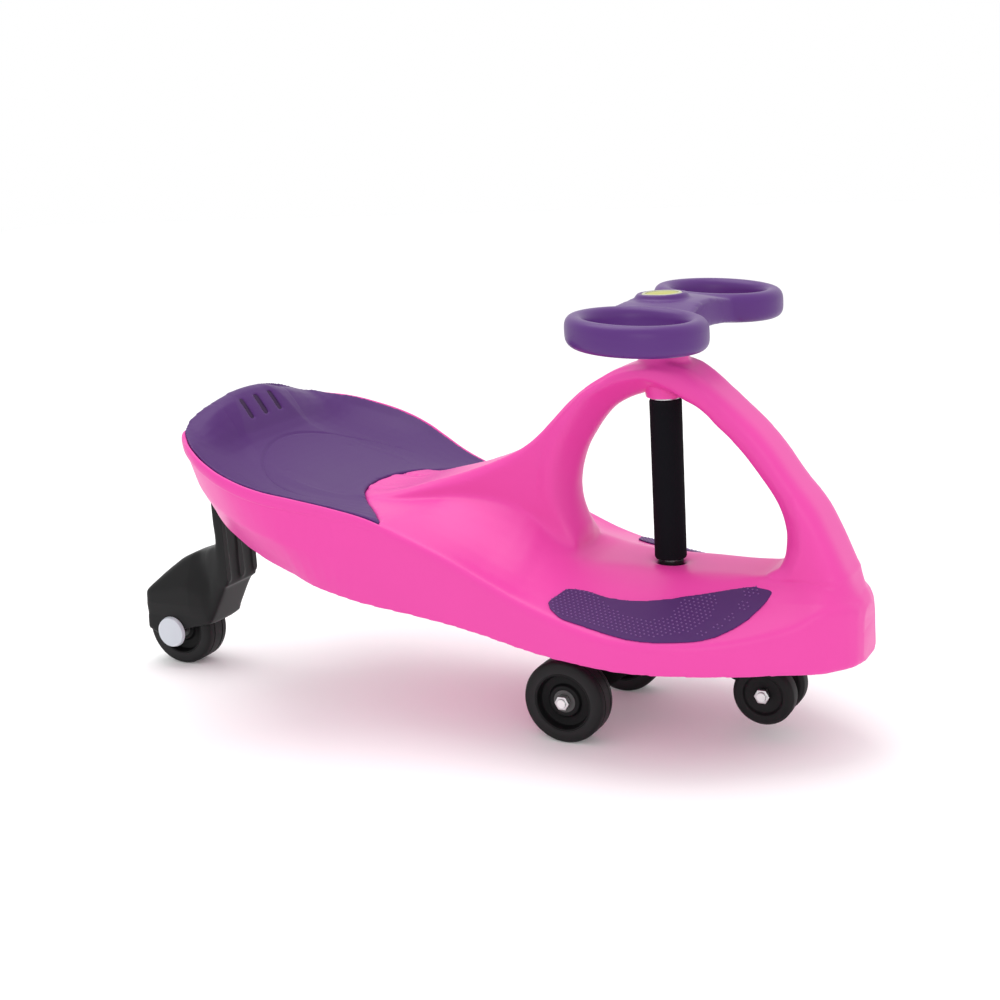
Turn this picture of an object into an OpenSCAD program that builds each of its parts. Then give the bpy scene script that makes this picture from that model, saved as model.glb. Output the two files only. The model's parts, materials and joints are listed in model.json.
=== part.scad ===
// Swing-steered ride-on car: a hull with a looped front arch, a dished seat, a turning
// column with a carriage of wheels under the floor, and one trailing wheel at the tail.

/* [Body] */
// Length of the moulded hull from tail to nose
body_l = 672; // [560:1:780]
// Widest width of the hull, at the seat
body_w = 344; // [280:1:400]
// Height of the top of the arch above the floor
arch_z = 357; // [300:1:420]
// Distance of the tail behind the middle of the whole car
tail_back = 261; // [220:1:310]
// Wall thickness of the hull at its lower edge
wall_t = 5; // [3:0.5:8]
// Thickness of the floor between the top skin and the hollow below
floor_t = 11; // [8:0.5:16]
// Depth of the small step rounding the rim
rim_e = 5; // [3:0.5:8]
// Height of the chamfer along both edges of the arch
strip_ch = 9; // [4:0.5:14]

/* [Seat and pads] */
// Thickness of the seat moulding
seat_t = 6; // [3:0.5:8]
// Gap between the seat and the tongue in front of it
seat_gap = 0.4; // [0.2:0.1:1.5]
// Width of a vent slot in the seat's back lip
slot_w = 5; // [3:0.5:8]
// Length of a vent slot
slot_l = 22; // [14:1:30]
// Height of the middle of the slots, as a share of the arch's height
slot_z_share = 0.845938; // [0.82:0.001:0.87]
// Distance of the slots ahead of the tail, as a share of the hull's length
slot_share = 0.029762; // [0.022:0.001:0.045]
// Length of the cut that makes a slot, as a share of the hull's length
slot_run_share = 0.03869; // [0.03:0.001:0.05]
// Spacing of the vent slots
slot_pitch = 19; // [14:1:26]
// Height of a foot pad's top above the deck
pad_t = 2; // [1:0.5:4]
// Gap of glue under a foot pad, and of air under the seat
pad_gap = 0.2; // [0.1:0.05:0.5]
// Radius of a seat screw
seat_screw_r = 2.5; // [2:0.25:4]
// Sideways place of the seat screws
seat_screw_y = 60; // [40:1:80]
// Distance of the seat screws ahead of the tail, as a share of the hull's length
seat_screw_share = 0.136905; // [0.1:0.001:0.18]
// Height of the flat under the seat screws, as a share of the arch's height
seat_screw_z_share = 0.621849; // [0.59:0.001:0.64]
// Length of a seat screw's shank
seat_screw_l = 22.5; // [18:0.5:24]

/* [Column] */
// Distance of the column ahead of the tail, as a share of the hull's length
column_share = 0.717262; // [0.68:0.001:0.75]
// Radius of the steel shaft
shaft_r = 8; // [6:0.5:12]
// Height of the shaft's lower end
shaft_low = 70; // [60:1:90]
// Height of the shaft's upper end above the hub's lower face
shaft_rise = 34.5; // [30:0.5:38]
// Radius of the foam grip
grip_r = 15.25; // [12:0.25:20]
// Height of the grip's lower end, as a share of the arch's height
grip_low_share = 0.467787; // [0.466:0.001:0.5]
// Gap between the ring on the grip and the bush above it
ring_gap = 0.6; // [0.3:0.1:2]
// Outer radius of both bushes
bush_r = 12; // [11:0.5:16]
// Radius of the bush flanges
bush_flange_r = 17; // [14:0.5:22]
// Thickness of the bush flanges
bush_flange_t = 3; // [2:0.5:5]
// Height of the lower bush's bottom face
bush_low = 116; // [110:1:120]
// Radius of the boss around the lower bush
floor_boss_r = 26; // [20:1:34]
// Radius of the boss on top of the arch
crown_boss_r = 23; // [18:1:28]
// Height of the boss's top above the arch
crown_rise = 7; // [4:0.5:12]
// Radius of the boss below the arch, at its lower face
neck_boss_r = 18; // [17:0.5:24]
// Distance of that lower face below the underside of the arch
neck_drop = 2.5; // [1:0.5:5]
// Thickness of the steel ring on top of the grip
ring_t = 1.4; // [1:0.1:1.6]
// Radius of that ring
ring_r = 13.5; // [11:0.5:16]

/* [Steering wheel] */
// Height of the middle of the rim loops above the hub's lower face
loop_rise = 32.5; // [26:0.5:36]
// Distance of the loop centres ahead of the column
loop_ahead = 17; // [5:1:30]
// Sideways place of the loop centres
loop_y = 104; // [85:1:125]
// Radius of the loops to the middle of the rim
loop_r = 53; // [44:1:60]
// Radius of the rounded top and bottom of the rim's section
rim_r = 9; // [7:0.5:12]
// Height of the straight part of the rim's section
rim_h = 10; // [4:0.5:14]
// Radius of the steering wheel's hub
hub_r = 33; // [28:1:40]
// Gap between the hub and the boss on the arch
hub_lift = 1.5; // [1:0.5:4]
// Height of the hub
hub_tall = 53.5; // [48:0.5:60]
// Radius of the round badge in the hub
badge_r = 19; // [14:1:24]
// Thickness of the badge
badge_t = 3; // [2:0.5:4]
// Radius of the pocket for the bolt under the badge
pocket_r = 11; // [10:0.5:14]
// Thickness of the plate joining the loops to the hub
web_t = 24; // [16:1:28]
// Height of the hub's edge where the joining plate starts to slope, above its lower face
slope_rise = 47.5; // [42:0.5:50]

/* [Carriage] */
// Distance of the main axle behind the column
trail = 81; // [60:1:100]
// Distance of the small axle ahead of the column
lead = 96; // [80:1:115]
// Radius of both front axles
axle_r = 4; // [3:0.5:6]
// Radius of the carriage's hub around the shaft
carriage_r = 18; // [14:1:28]
// Height of the carriage hub's lower face
carriage_low = 66; // [55:1:69]
// Height of the carriage's top face
carriage_high = 115.4; // [105:0.1:115.6]
// Radius of the cross tube for the main axle
cross_r = 13; // [10:0.5:18]
// Half length of the cross tube
cross_half = 50; // [40:1:54]
// Half width of the rear arm
rear_arm_half = 21; // [15:1:30]
// Half width of the front arm
front_arm_half = 7; // [5:0.5:7.5]
// Radius of the front arm's end eye
eye_r = 11; // [8:0.5:14]
// Radius of the clamp bolt across the carriage's hub
clamp_r = 3; // [2:0.5:4]
// Height of the clamp bolt
clamp_z = 106; // [104:1:108]

/* [Wheels] */
// Radius of the main wheels
main_r = 41; // [36:0.5:48]
// Width of the main wheels
main_w = 28; // [22:1:34]
// Distance of a main wheel's outer face from the middle
main_out = 85.6; // [75:0.1:95]
// Radius of the small wheels
small_r = 29.5; // [24:0.5:34]
// Width of the small wheels
small_w = 18; // [12:0.5:18]
// Distance of a small wheel's outer face from the middle
small_out = 26; // [22:0.5:30]
// Height of the small wheels above the floor
small_lift = 18; // [6:0.5:24]
// Radius of the rear wheel
rear_r = 42.3; // [36:0.1:48]
// Width of the rear wheel
rear_w = 33; // [28:1:36]
// Thickness of the tyres
tyre_t = 12; // [8:0.5:16]
// Depth of the dish in a wheel's face
dish_d = 8; // [4:0.5:9]
// Depth of the bearings below a wheel's face
bearing_deep = 4.5; // [1:0.5:6]
// Depth of the dish in a small wheel's face
small_dish = 4; // [2:0.5:6]
// Length of an axle past its nut
axle_past = 1; // [0.5:0.5:3]
// Radius of the rounding on the tyre's shoulders
shoulder = 4; // [2:0.5:6]
// Outer radius of a bearing
bearing_r = 11; // [9:0.5:14]
// Width of a bearing
bearing_w = 7; // [5:0.5:8]
// Wall around a bearing seat
seat_wall = 4; // [3:0.5:6]
// Radius of an axle nut, across its corners
nut_r = 7.5; // [6:0.25:9]
// Thickness of an axle nut
nut_t = 6; // [4:0.5:7]
// Radius of a spacer tube
spacer_r = 7; // [5.5:0.5:9]

/* [Rear bracket] */
// Distance of the rear axle behind the middle of the car
rear_back = 369; // [340:1:390]
// Half width of the hood over the rear wheel
hood_half = 29; // [26:1:34]
// Half width of the hood's ridge
ridge_half = 14; // [8:1:20]
// Thickness of the hood's cheeks
cheek_t = 5; // [4:0.5:7]
// Gap between the rear tyre and the hood
hood_gap = 4; // [2:0.5:6]
// Thickness of the stem's plate
stem_t = 12; // [8:1:16]
// Half width of the stem's plate
stem_half = 28; // [20:1:29]
// Distance of the stem's rear face behind the middle of the car
stem_back = 299; // [290:1:310]
// Width of a rib on the stem
rib_w = 6; // [4:0.5:8]
// Depth of a rib on the stem
rib_d = 6; // [4:1:18]
// Height of the mounting flange's top face, as a share of the arch's height
flange_z_share = 0.59944; // [0.58:0.001:0.61]
// Thickness of the mounting flange
flange_t = 8; // [5:0.5:10]
// Half width of the mounting flange
flange_half = 38; // [34:1:44]
// Distance of the flange's front edge ahead of the tail, as a share of the hull's length
flange_front_share = 0.135417; // [0.12:0.001:0.15]
// Radius of a bracket bolt
bolt_r = 3; // [2.5:0.25:4]
// Radius of a boss for a bracket bolt
bolt_boss_r = 9; // [7:0.5:11]
// Sideways place of the bracket bolts
bolt_y = 26; // [20:1:30]
// Distance of the rear pair of bracket bolts ahead of the tail, as a share of the hull's length
bolt_a_share = 0.072917; // [0.064:0.001:0.083]
// Distance of the front pair of bracket bolts ahead of the tail, as a share of the hull's length
bolt_b_share = 0.114583; // [0.103:0.001:0.12]
// Length of a bracket bolt's shank
bolt_l = 24; // [18:1:30]
// Thickness of a bolt's head
head_t = 4; // [3:0.5:6]
// Radius of a bolt's head
head_r = 6; // [5:0.25:8]
// Radius of the round cap on each end of the rear axle
cap_r = 17.5; // [14:0.5:20]
// Thickness of that cap
cap_t = 4; // [3:0.5:6]

/* [Fits] */
// Radial clearance of a shaft that turns in a hole
run_gap = 0.05; // [0.01:0.01:0.1]
// Clearance between parts that move past each other
move_gap = 0.5; // [0.3:0.1:1.5]
// Overrun of a cut past the face it leaves
over = 2; // [1:0.5:5]

/* [Hidden] */
$fn = 64;
half_w = body_w / 2;
column_x = column_share * body_l - tail_back;
slot_back = slot_share * body_l;
slot_run = slot_run_share * body_l;
slot_z = slot_z_share * arch_z;
seat_screw_back = tail_back - seat_screw_share * body_l;
seat_screw_z = seat_screw_z_share * arch_z;
crown_boss_z = arch_z + crown_rise;
grip_low = grip_low_share * arch_z;
hub_low = crown_boss_z + hub_lift;
loop_z = hub_low + loop_rise;
slope_z = hub_low + slope_rise;
hub_high = hub_low + hub_tall;
shaft_high = hub_low + shaft_rise;
flange_z = flange_z_share * arch_z;
flange_front = tail_back - flange_front_share * body_l;
bolt_back_a = tail_back - bolt_a_share * body_l;
bolt_back_b = tail_back - bolt_b_share * body_l;
main_x = column_x - trail;
small_x = column_x + lead;
small_z = small_r + small_lift;
loop_x = column_x + loop_ahead;
rear_x = -rear_back;
eye_half = small_out - small_w + small_dish - move_gap;
bearing_in = bearing_deep + bearing_w / 2;
main_mid = main_out - main_w / 2;
bearing_far = main_out - main_w + bearing_in;
nut_main = main_out - bearing_deep + move_gap;
nut_small = small_out - small_dish + move_gap;

// Guide curves of the hull, all with the place along the hull first.
// Crease round the hull: side, height
crease_shares = [
    [0, 0.5581, 0.8431], [0.0119, 0.6686, 0.8319], [0.0298, 0.7616, 0.8151], [0.0595, 0.8663, 0.7983],
    [0.0997, 0.9535, 0.7703], [0.1443, 1, 0.7395], [0.189, 0.9767, 0.7087], [0.2336, 0.8953, 0.6807],
    [0.2857, 0.7965, 0.6471], [0.3304, 0.7442, 0.619], [0.3869, 0.7326, 0.577], [0.4583, 0.7413, 0.5266],
    [0.5104, 0.7442, 0.479], [0.5714, 0.7558, 0.4286], [0.6429, 0.7849, 0.3866], [0.7024, 0.8023, 0.3613],
    [0.7619, 0.7616, 0.3487], [0.8229, 0.6744, 0.3473], [0.881, 0.5465, 0.3557], [0.9256, 0.4244, 0.3725],
    [0.9583, 0.3198, 0.4062], [0.9792, 0.2384, 0.4062], [0.9926, 0.1628, 0.3894], [1, 0.0698, 0.3641]
];
// Lower edge of the hull: side, height
keel_shares = [
    [0, 0.3837, 0.6331], [0.0179, 0.4651, 0.5742], [0.0625, 0.5581, 0.5238], [0.122, 0.6221, 0.4706],
    [0.189, 0.657, 0.4244], [0.2143, 0.6715, 0.4006], [0.256, 0.6831, 0.3838], [0.3155, 0.6977, 0.3669],
    [0.4196, 0.7093, 0.3473], [0.5089, 0.7267, 0.3221], [0.5878, 0.7558, 0.2913], [0.6592, 0.782, 0.2801],
    [0.7024, 0.7907, 0.2745], [0.744, 0.7733, 0.2703], [0.8021, 0.6919, 0.2633], [0.8705, 0.5581, 0.2549],
    [0.9152, 0.4477, 0.2507], [0.9494, 0.3605, 0.2479], [0.9792, 0.2558, 0.2479], [0.994, 0.1744, 0.2493],
    [1, 0.0814, 0.2521]
];
// Ridge along the middle: half width, height of its foot, height of its top
fin_shares = [
    [0, 0.1279, 0.8936, 0.8978], [0.0119, 0.1395, 0.8922, 0.8964], [0.0268, 0.1744, 0.8683, 0.8711],
    [0.0446, 0.2326, 0.8151, 0.8179], [0.0595, 0.2907, 0.7675, 0.7703], [0.0818, 0.3488, 0.7353, 0.7367],
    [0.122, 0.407, 0.7003, 0.6989], [0.1667, 0.4419, 0.6723, 0.6695], [0.2113, 0.4419, 0.6499, 0.6471],
    [0.2426, 0.407, 0.6359, 0.6345], [0.2783, 0.3605, 0.6246, 0.6303], [0.3155, 0.3198, 0.6176, 0.6387],
    [0.3601, 0.2733, 0.6204, 0.6611], [0.4196, 0.2209, 0.6275, 0.6919], [0.4643, 0.1977, 0.6218, 0.7255],
    [0.5089, 0.186, 0.5966, 0.7703], [0.5387, 0.1802, 0.563, 0.8151], [0.5625, 0.1744, 0.5266, 0.8613],
    [0.5878, 0.1744, 0.4986, 0.9076], [0.6205, 0.1744, 0.479, 0.9524], [0.6592, 0.1744, 0.4692, 0.986],
    [0.7098, 0.1802, 0.4622, 1], [0.75, 0.1802, 0.4622, 0.9944], [0.7842, 0.1802, 0.4594, 0.9566],
    [0.8497, 0.1802, 0.451, 0.8431], [0.8795, 0.1802, 0.4496, 0.7731], [0.9033, 0.1802, 0.451, 0.7031],
    [0.9301, 0.1802, 0.4524, 0.6331], [0.9479, 0.1802, 0.4496, 0.563], [0.9613, 0.1744, 0.444, 0.507],
    [0.9717, 0.157, 0.4328, 0.4636], [0.9814, 0.1279, 0.4174, 0.4314], [0.9926, 0.0872, 0.3964, 0.4034],
    [1, 0.0349, 0.3697, 0.3725]
];
// Sag of the skin between the crease and the ridge
sag_shares = [
    [0, 0.0126], [0.0268, 0.014], [0.0595, 0.0224], [0.0818, 0.0252], [0.1667, 0.0224], [0.2426, 0.014],
    [0.3304, 0.0056], [0.375, 0.0014], [0.4196, 0.014], [0.4643, 0.0252], [0.5089, 0.028], [0.5625, 0.0154],
    [0.5878, 0.0056], [0.6205, 0.0028], [0.7024, 0], [1, 0]
];
// Outline of the opening in the arch: place along the hull, height
hole_shares = [
    [0.6146, 0.4706], [0.5938, 0.507], [0.5789, 0.5546], [0.5699, 0.6078], [0.5677, 0.6583],
    [0.5714, 0.7003], [0.5833, 0.7563], [0.5997, 0.8011], [0.631, 0.8627], [0.6696, 0.902],
    [0.7173, 0.9188], [0.7619, 0.9076], [0.7887, 0.8824], [0.8155, 0.8375], [0.8423, 0.7843],
    [0.869, 0.7143], [0.8899, 0.6527], [0.9003, 0.5938], [0.901, 0.5434], [0.8914, 0.4958],
    [0.8765, 0.4678], [0.8586, 0.4538]
];
// Outline of the tongue that the seat fits round: place along the hull, side
tongue_shares = [
    [0.2411, 0], [0.244, 0.1047], [0.2493, 0.186], [0.2589, 0.2674], [0.2738, 0.3488],
    [0.2932, 0.436], [0.314, 0.5233], [0.3333, 0.6105], [0.3482, 0.686], [0.3549, 0.7791]
];
// Outline of a foot pad: place along the hull, side
pad_shares = [
    [0.6027, 0.7035], [0.6235, 0.436], [0.6622, 0.4709], [0.7083, 0.4593], [0.7604, 0.4012],
    [0.8036, 0.3256], [0.8333, 0.2674], [0.8676, 0.2209], [0.8884, 0.2616], [0.8839, 0.343],
    [0.8363, 0.593], [0.7842, 0.7035], [0.7277, 0.7616], [0.6637, 0.7558], [0.6205, 0.75]
];
// Side view of the hood's ridge: place ahead of the rear axle, height, as shares of the wheel's radius
ridge_shares = [
    [1.543, 3.308], [0.875, 3.165], [0.351, 2.929], [-0.189, 2.549], [-0.634, 2.152],
    [-0.777, 1.418], [-0.443, 0.878], [1.209, 1.249], [1.829, 2.414]
];
// Side view of a cheek: place ahead of the rear axle, height, as shares of the wheel's radius
cheek_shares = [
    [-0.713, 2.059], [0.542, 2.296], [1.114, 2.059], [1.273, 1.325], [-0.475, 0.878],
    [-0.809, 1.038]
];
// Side view of the carriage's rear arm: shares of the trail and of the carriage's height
rear_arm_shares = [
    [-0.2, 0.6], [-0.2, 0.86], [0.2, 0.86], [0.6, 0.62], [1.05, 0.44], [1.05, 0.27], [0.85, 0.27], [0.4, 0.5]
];
// Side view of the carriage's front arm: shares of the lead and of the carriage's height
front_arm_shares = [
    [-0.1, 0.6], [-0.1, 0.8], [0.2, 0.8], [0.6, 0.6], [1.02, 0.5], [1.02, 0.33], [0.7, 0.44], [0.3, 0.6]
];
// Plan of the plate joining the steering wheel's loops: shares of the loop's radius
web_shares = [
    [-0.6, 0], [-0.56, 0.35], [-0.5, 0.8], [-0.42, 1.25], [0.3, 1.5], [0.98, 1.3], [0.86, 0.7], [0.8, 0]
];
// Number of sections along the hull, and how much closer they stand at its ends
arch_under_z = max([for (p = hole_shares) p[1]]) * arch_z;
neck_boss_z = arch_under_z - neck_drop;
grip_high = neck_boss_z - bush_flange_t - ring_gap - ring_t;
sections_n = 66;
crowd_share = 0.5;
seat_front_share = 0.39;
pad_rear_share = 0.57;
pad_front_share = 0.92;
hollow_rear_share = 0.016;
hollow_front_share = 0.963;
side_steps = 6;

// Slope of column k of a guide curve at its point i
function slope(c, k, i) =
    let (a = max(i - 1, 0), b = min(i + 1, len(c) - 1))
    (c[b][k] - c[a][k]) / (c[b][0] - c[a][0]);
// Smooth value of column k of a guide curve at place p along the hull
function guide(c, k, p) =
    let (i = max([for (j = [0:len(c) - 2]) j == 0 || c[j][0] <= p ? j : 0]), h = c[i + 1][0] - c[i][0],
         t = (p - c[i][0]) / h, u = 1 - t)
    c[i][k] * u * u * (1 + 2 * t) + slope(c, k, i) * h * t * u * u
        + c[i + 1][k] * t * t * (3 - 2 * t) - slope(c, k, i + 1) * h * t * t * u;
// Places of the sections, crowded towards both ends
places = [for (i = [0:sections_n]) let (u = i / sections_n)
    u * (1 - crowd_share) + (1 - cos(180 * u)) / 2 * crowd_share];
// One section's own sizes: lower edge, crease, middle of the skin, ridge
function row_at(p) =
    let (zc = guide(crease_shares, 2, p), zf = guide(fin_shares, 2, p))
    [p, guide(keel_shares, 1, p), guide(keel_shares, 2, p), guide(crease_shares, 1, p), zc,
     (zc + zf) / 2 - guide(sag_shares, 1, p), zf, guide(fin_shares, 1, p), guide(fin_shares, 3, p)];
function row_x(r) = r[0] * body_l - tail_back;
// Height of the foot of the ridge, and of a boss that ends inside the floor under the seat
function skin_z(x) = guide(fin_shares, 2, (x + tail_back) / body_l) * arch_z;
function boss_top(x) = skin_z(x) - seat_t - over;
// Places between two limits
function places_in(p0, p1) = [for (p = places) if (p >= p0 && p <= p1) p];
// Smooth curve through four neighbours
function curve(a, b, c, d, t) =
    (2 * b + (c - a) * t + (2 * a - 5 * b + 4 * c - d) * t * t + (3 * b - a - 3 * c + d) * t * t * t) / 2;
// Half of the upper skin, from the crease to the ridge
function top_half(r) =
    let (yc = r[3] * half_w, zc = r[4] * arch_z, zm = r[5] * arch_z, zf = r[6] * arch_z, yf = r[7] * half_w,
         zs = r[8] * arch_z, yo = yc - min(rim_e, yc) / 2, ch = min(strip_ch, (zs - zf) * 0.4))
    concat(
        [for (k = [0:side_steps]) let (t = k / side_steps)
            [yo + (yf - yo) * t, zc * (1 - t) * (1 - 2 * t) + zm * 4 * t * (1 - t) + zf * t * (2 * t - 1)]],
        [[yf * 0.985, zf + (zs - ch - zf) * 0.5], [yf * 0.97, zs - ch], [yf * 0.78, zs]]);
function skirt_half(r) =
    let (yb = r[1] * half_w, zb = r[2] * arch_z, yc = r[3] * half_w, zc = r[4] * arch_z)
    [[yb, zb], [yb + (yc - yb) * 0.64, zb + (zc - rim_e - zb) * 0.5], [yc, zc - rim_e]];
function hollow_half(r) =
    let (yb = r[1] * half_w, zb = r[2] * arch_z, yc = r[3] * half_w, zc = r[4] * arch_z, zm = r[5] * arch_z,
         zf = r[6] * arch_z, yf = r[7] * half_w, zs = r[8] * arch_z)
    [[yb - wall_t, zb], [min(yc, yb + (yc - yb) * 0.8) - wall_t * 1.6, zc - floor_t * 1.6],
     [(yc + yf) / 2, min(zm, (zc + zf) / 2) - floor_t], [yf, min(zf, zs) - floor_t]];
// A half section made whole across the middle plane
function whole(h, mid) =
    concat([for (p = h) [-p[0], p[1]]], [[0, mid]], [for (k = [len(h) - 1:-1:0]) h[k]]);
function at_x(x, s) = [for (p = s) [x, p[0], p[1]]];
function outer_section(r) = at_x(row_x(r), whole(concat(skirt_half(r), top_half(r)), r[8] * arch_z));
function hollow_section(r) =
    at_x(row_x(r), whole(hollow_half(r), min(r[6], r[8]) * arch_z - floor_t));
function top_section(r, lift) =
    [for (p = at_x(row_x(r), whole(top_half(r), r[8] * arch_z))) p + [0, 0, lift]];
// Two triangles of a patch, mirrored across the middle plane
function patch(a, b, c, d, left) = left ? [[a, b, c], [a, c, d]] : [[a, b, d], [b, c, d]];
function grid_faces(n, m, at) =
    [for (i = [0:n - 2]) for (j = [0:m - 2])
        let (a = at + i * m + j)
        each patch(a, a + 1, a + m + 1, a + m, j < (m - 1) / 2)];
function flipped(faces) = [for (f = faces) [for (k = [len(f) - 1:-1:0]) f[k]]];
function flat(lists) = [for (l = lists) each l];
// Closed smooth outline through shares
function smooth_loop(p, n) =
    [for (i = [0:len(p) - 1]) for (k = [0:n - 1])
        curve(p[(i + len(p) - 1) % len(p)], p[i], p[(i + 1) % len(p)], p[(i + 2) % len(p)], k / n)];
function hull_xz(p) = [p[0] * body_l - tail_back, p[1] * arch_z];
function hull_xy(p) = [p[0] * body_l - tail_back, p[1] * half_w];

// Which sub-part to draw

// Solid hull with its hollow underside
module hull_solid() {
    n = len(places);
    outer = [for (p = places) outer_section(row_at(p))];
    m = len(outer[0]);
    first = n - len(places_in(hollow_rear_share, 1));
    last = len(places_in(0, hollow_front_share)) - 1;
    inner = [for (i = [first:last]) hollow_section(row_at(places[i]))];
    k = len(inner[0]);
    ni = len(inner);
    base = n * m;
    end = base + (ni - 1) * k;
    faces = concat(
        grid_faces(n, m, 0),
        flipped(grid_faces(ni, k, base)),
        [[for (j = [m - 1:-1:0]) j], [for (j = [0:m - 1]) (n - 1) * m + j]],
        [[for (j = [0:k - 1]) base + j], [for (j = [k - 1:-1:0]) end + j]],
        [for (i = [0:n - 2]) if (i < first - 1 || i > last)
            [i * m, (i + 1) * m, (i + 1) * m + m - 1, i * m + m - 1]],
        [[(first - 1) * m, first * m, base, base + k - 1, first * m + m - 1, (first - 1) * m + m - 1],
         [(last + 1) * m, (last + 1) * m + m - 1, last * m + m - 1, end + k - 1, end, last * m]],
        [for (i = [first:last - 1]) let (a = base + (i - first) * k)
            each [[i * m, (i + 1) * m, a + k, a],
                  [a + k - 1, a + 2 * k - 1, (i + 1) * m + m - 1, i * m + m - 1]]]);
    polyhedron(flat(concat(outer, inner)), faces);
}

// A layer lying on the upper skin, between two heights above it
module skin_layer(p0, p1, low, high, ends, sides) {
    us = places_in(p0, p1);
    extra = ends > 0 ? 1 : 0;
    sections = function (lift) [for (i = [-extra:len(us) - 1 + extra])
        let (r = row_at(us[min(max(i, 0), len(us) - 1)]), s = top_section(r, lift),
             dx = i < 0 ? -ends : i == len(us) ? ends : 0, e = len(s) - 1)
        concat(sides > 0 ? [s[0] + [dx, -sides, 0]] : [],
            [for (p = s) p + [dx, 0, 0]],
            sides > 0 ? [s[e] + [dx, sides, 0]] : [])];
    top = sections(high);
    low_s = sections(low);
    n = len(top);
    m = len(top[0]);
    base = n * m;
    faces = concat(
        grid_faces(n, m, 0),
        flipped(grid_faces(n, m, base)),
        [concat([for (j = [m - 1:-1:0]) j], [for (j = [0:m - 1]) base + j])],
        [concat([for (j = [0:m - 1]) (n - 1) * m + j], [for (j = [m - 1:-1:0]) base + (n - 1) * m + j])],
        [for (i = [0:n - 2]) each [
            [i * m, (i + 1) * m, base + (i + 1) * m], [i * m, base + (i + 1) * m, base + i * m],
            [i * m + m - 1, base + (i + 1) * m + m - 1, (i + 1) * m + m - 1],
            [i * m + m - 1, base + i * m + m - 1, base + (i + 1) * m + m - 1]]]);
    polyhedron(flat(concat(top, low_s)), faces);
}

// Upright prism of the tongue, grown by a gap
module tongue_prism(gap) {
    side = [for (p = tongue_shares) hull_xy(p) + [-gap, p[1] > 0 ? gap : 0]];
    back = [for (k = [len(side) - 1:-1:1]) [side[k][0], -side[k][1]]];
    far = [[column_x, half_w + over], [column_x, -half_w - over]];
    edge = side[len(side) - 1];
    translate([0, 0, -over])
        linear_extrude(arch_z + over)
            polygon(concat(side, [[edge[0], half_w + over]], far, [[edge[0], -half_w - over]], back));
}

// A bar along Y between two places
module bar_y(x, y0, y1, z, r) {
    translate([x, y0, z])
        rotate([-90, 0, 0])
            cylinder(h = y1 - y0, r = r);
}

// A flat outline in the side view, given thickness across the car
module side_plate(points, half) {
    rotate([90, 0, 0])
        linear_extrude(2 * half, center = true)
            polygon(points);
}

module body_shell() {
    deck_z = skin_z(column_x);
    color([0.93, 0.2, 0.6])
        difference() {
            union() {
                // Lofted part, set to the hull's full length and width
                resize([body_l, body_w, 0])
                    difference() {
                        hull_solid();
                        side_plate([for (p = smooth_loop(hole_shares, 2)) hull_xz(p)], half_w + over);
                        difference() {
                            skin_layer(0, seat_front_share, -seat_t, arch_z, over, half_w);
                            tongue_prism(0);
                        }
                        // Way for the bracket's flange through the tail wall
                        translate([-stem_back, -flange_half - move_gap, flange_z - flange_t - over])
                            cube([stem_back - tail_back + floor_t + over, 2 * (flange_half + move_gap),
                                  flange_t + over + pad_gap]);
                    }
                translate([column_x, 0, bush_low + bush_flange_t])
                    cylinder(h = deck_z - bush_low - bush_flange_t - over, r = floor_boss_r);
                translate([column_x, 0, arch_z - over])
                    cylinder(h = crown_boss_z - arch_z + over, r = crown_boss_r);
                translate([column_x, 0, neck_boss_z])
                    cylinder(h = arch_under_z - neck_boss_z + over, r1 = neck_boss_r, r2 = crown_boss_r);
                for (x = [bolt_back_a, bolt_back_b], s = [-1, 1])
                    translate([-x, s * bolt_y, flange_z])
                        cylinder(h = boss_top(bolt_boss_r - x) - flange_z, r = bolt_boss_r);
                for (s = [-1, 1])
                    translate([-seat_screw_back, s * seat_screw_y, seat_screw_z])
                        cylinder(h = boss_top(bolt_boss_r - seat_screw_back) - seat_screw_z, r = bolt_boss_r);
            }
            translate([column_x, 0, -over])
                cylinder(h = arch_z * 2, r = bush_r);
            for (x = [bolt_back_a, bolt_back_b], s = [-1, 1])
                translate([-x, s * bolt_y, flange_z - over])
                    cylinder(h = bolt_l - flange_t + over, r = bolt_r);
            for (s = [-1, 1])
                translate([-seat_screw_back, s * seat_screw_y, seat_screw_z - over])
                    cylinder(h = arch_z, r = seat_screw_r);
        }
}

module seat() {
    color([0.32, 0.15, 0.5])
        difference() {
            skin_layer(0, seat_front_share, pad_gap - seat_t, 0, 0, 0);
            tongue_prism(seat_gap);
            for (k = [-1:1])
                translate([-tail_back + slot_back, k * slot_pitch, slot_z])
                    cube([slot_run, slot_w, slot_l], center = true);
            for (s = [-1, 1])
                translate([-seat_screw_back, s * seat_screw_y, seat_screw_z])
                    cylinder(h = seat_screw_l, r = seat_screw_r);
        }
}

module foot_pad(s) {
    color([0.32, 0.15, 0.5])
        intersection() {
            skin_layer(pad_rear_share, pad_front_share, pad_gap, pad_t, 0, 0);
            linear_extrude(arch_z)
                polygon([for (p = smooth_loop(pad_shares, 3)) let (q = hull_xy(p)) [q[0], s * q[1]]]);
        }
}

// Flanged plain bush, flange at the lower end
module bush(z0, z1) {
    color([0.15, 0.15, 0.16])
        translate([column_x, 0, 0])
            difference() {
                union() {
                    translate([0, 0, z0])
                        cylinder(h = z1 - z0, r = bush_r);
                    translate([0, 0, z0])
                        cylinder(h = bush_flange_t, r = bush_flange_r);
                }
                translate([0, 0, z0 - over])
                    cylinder(h = z1 - z0 + 2 * over, r = shaft_r + run_gap);
            }
}

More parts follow.
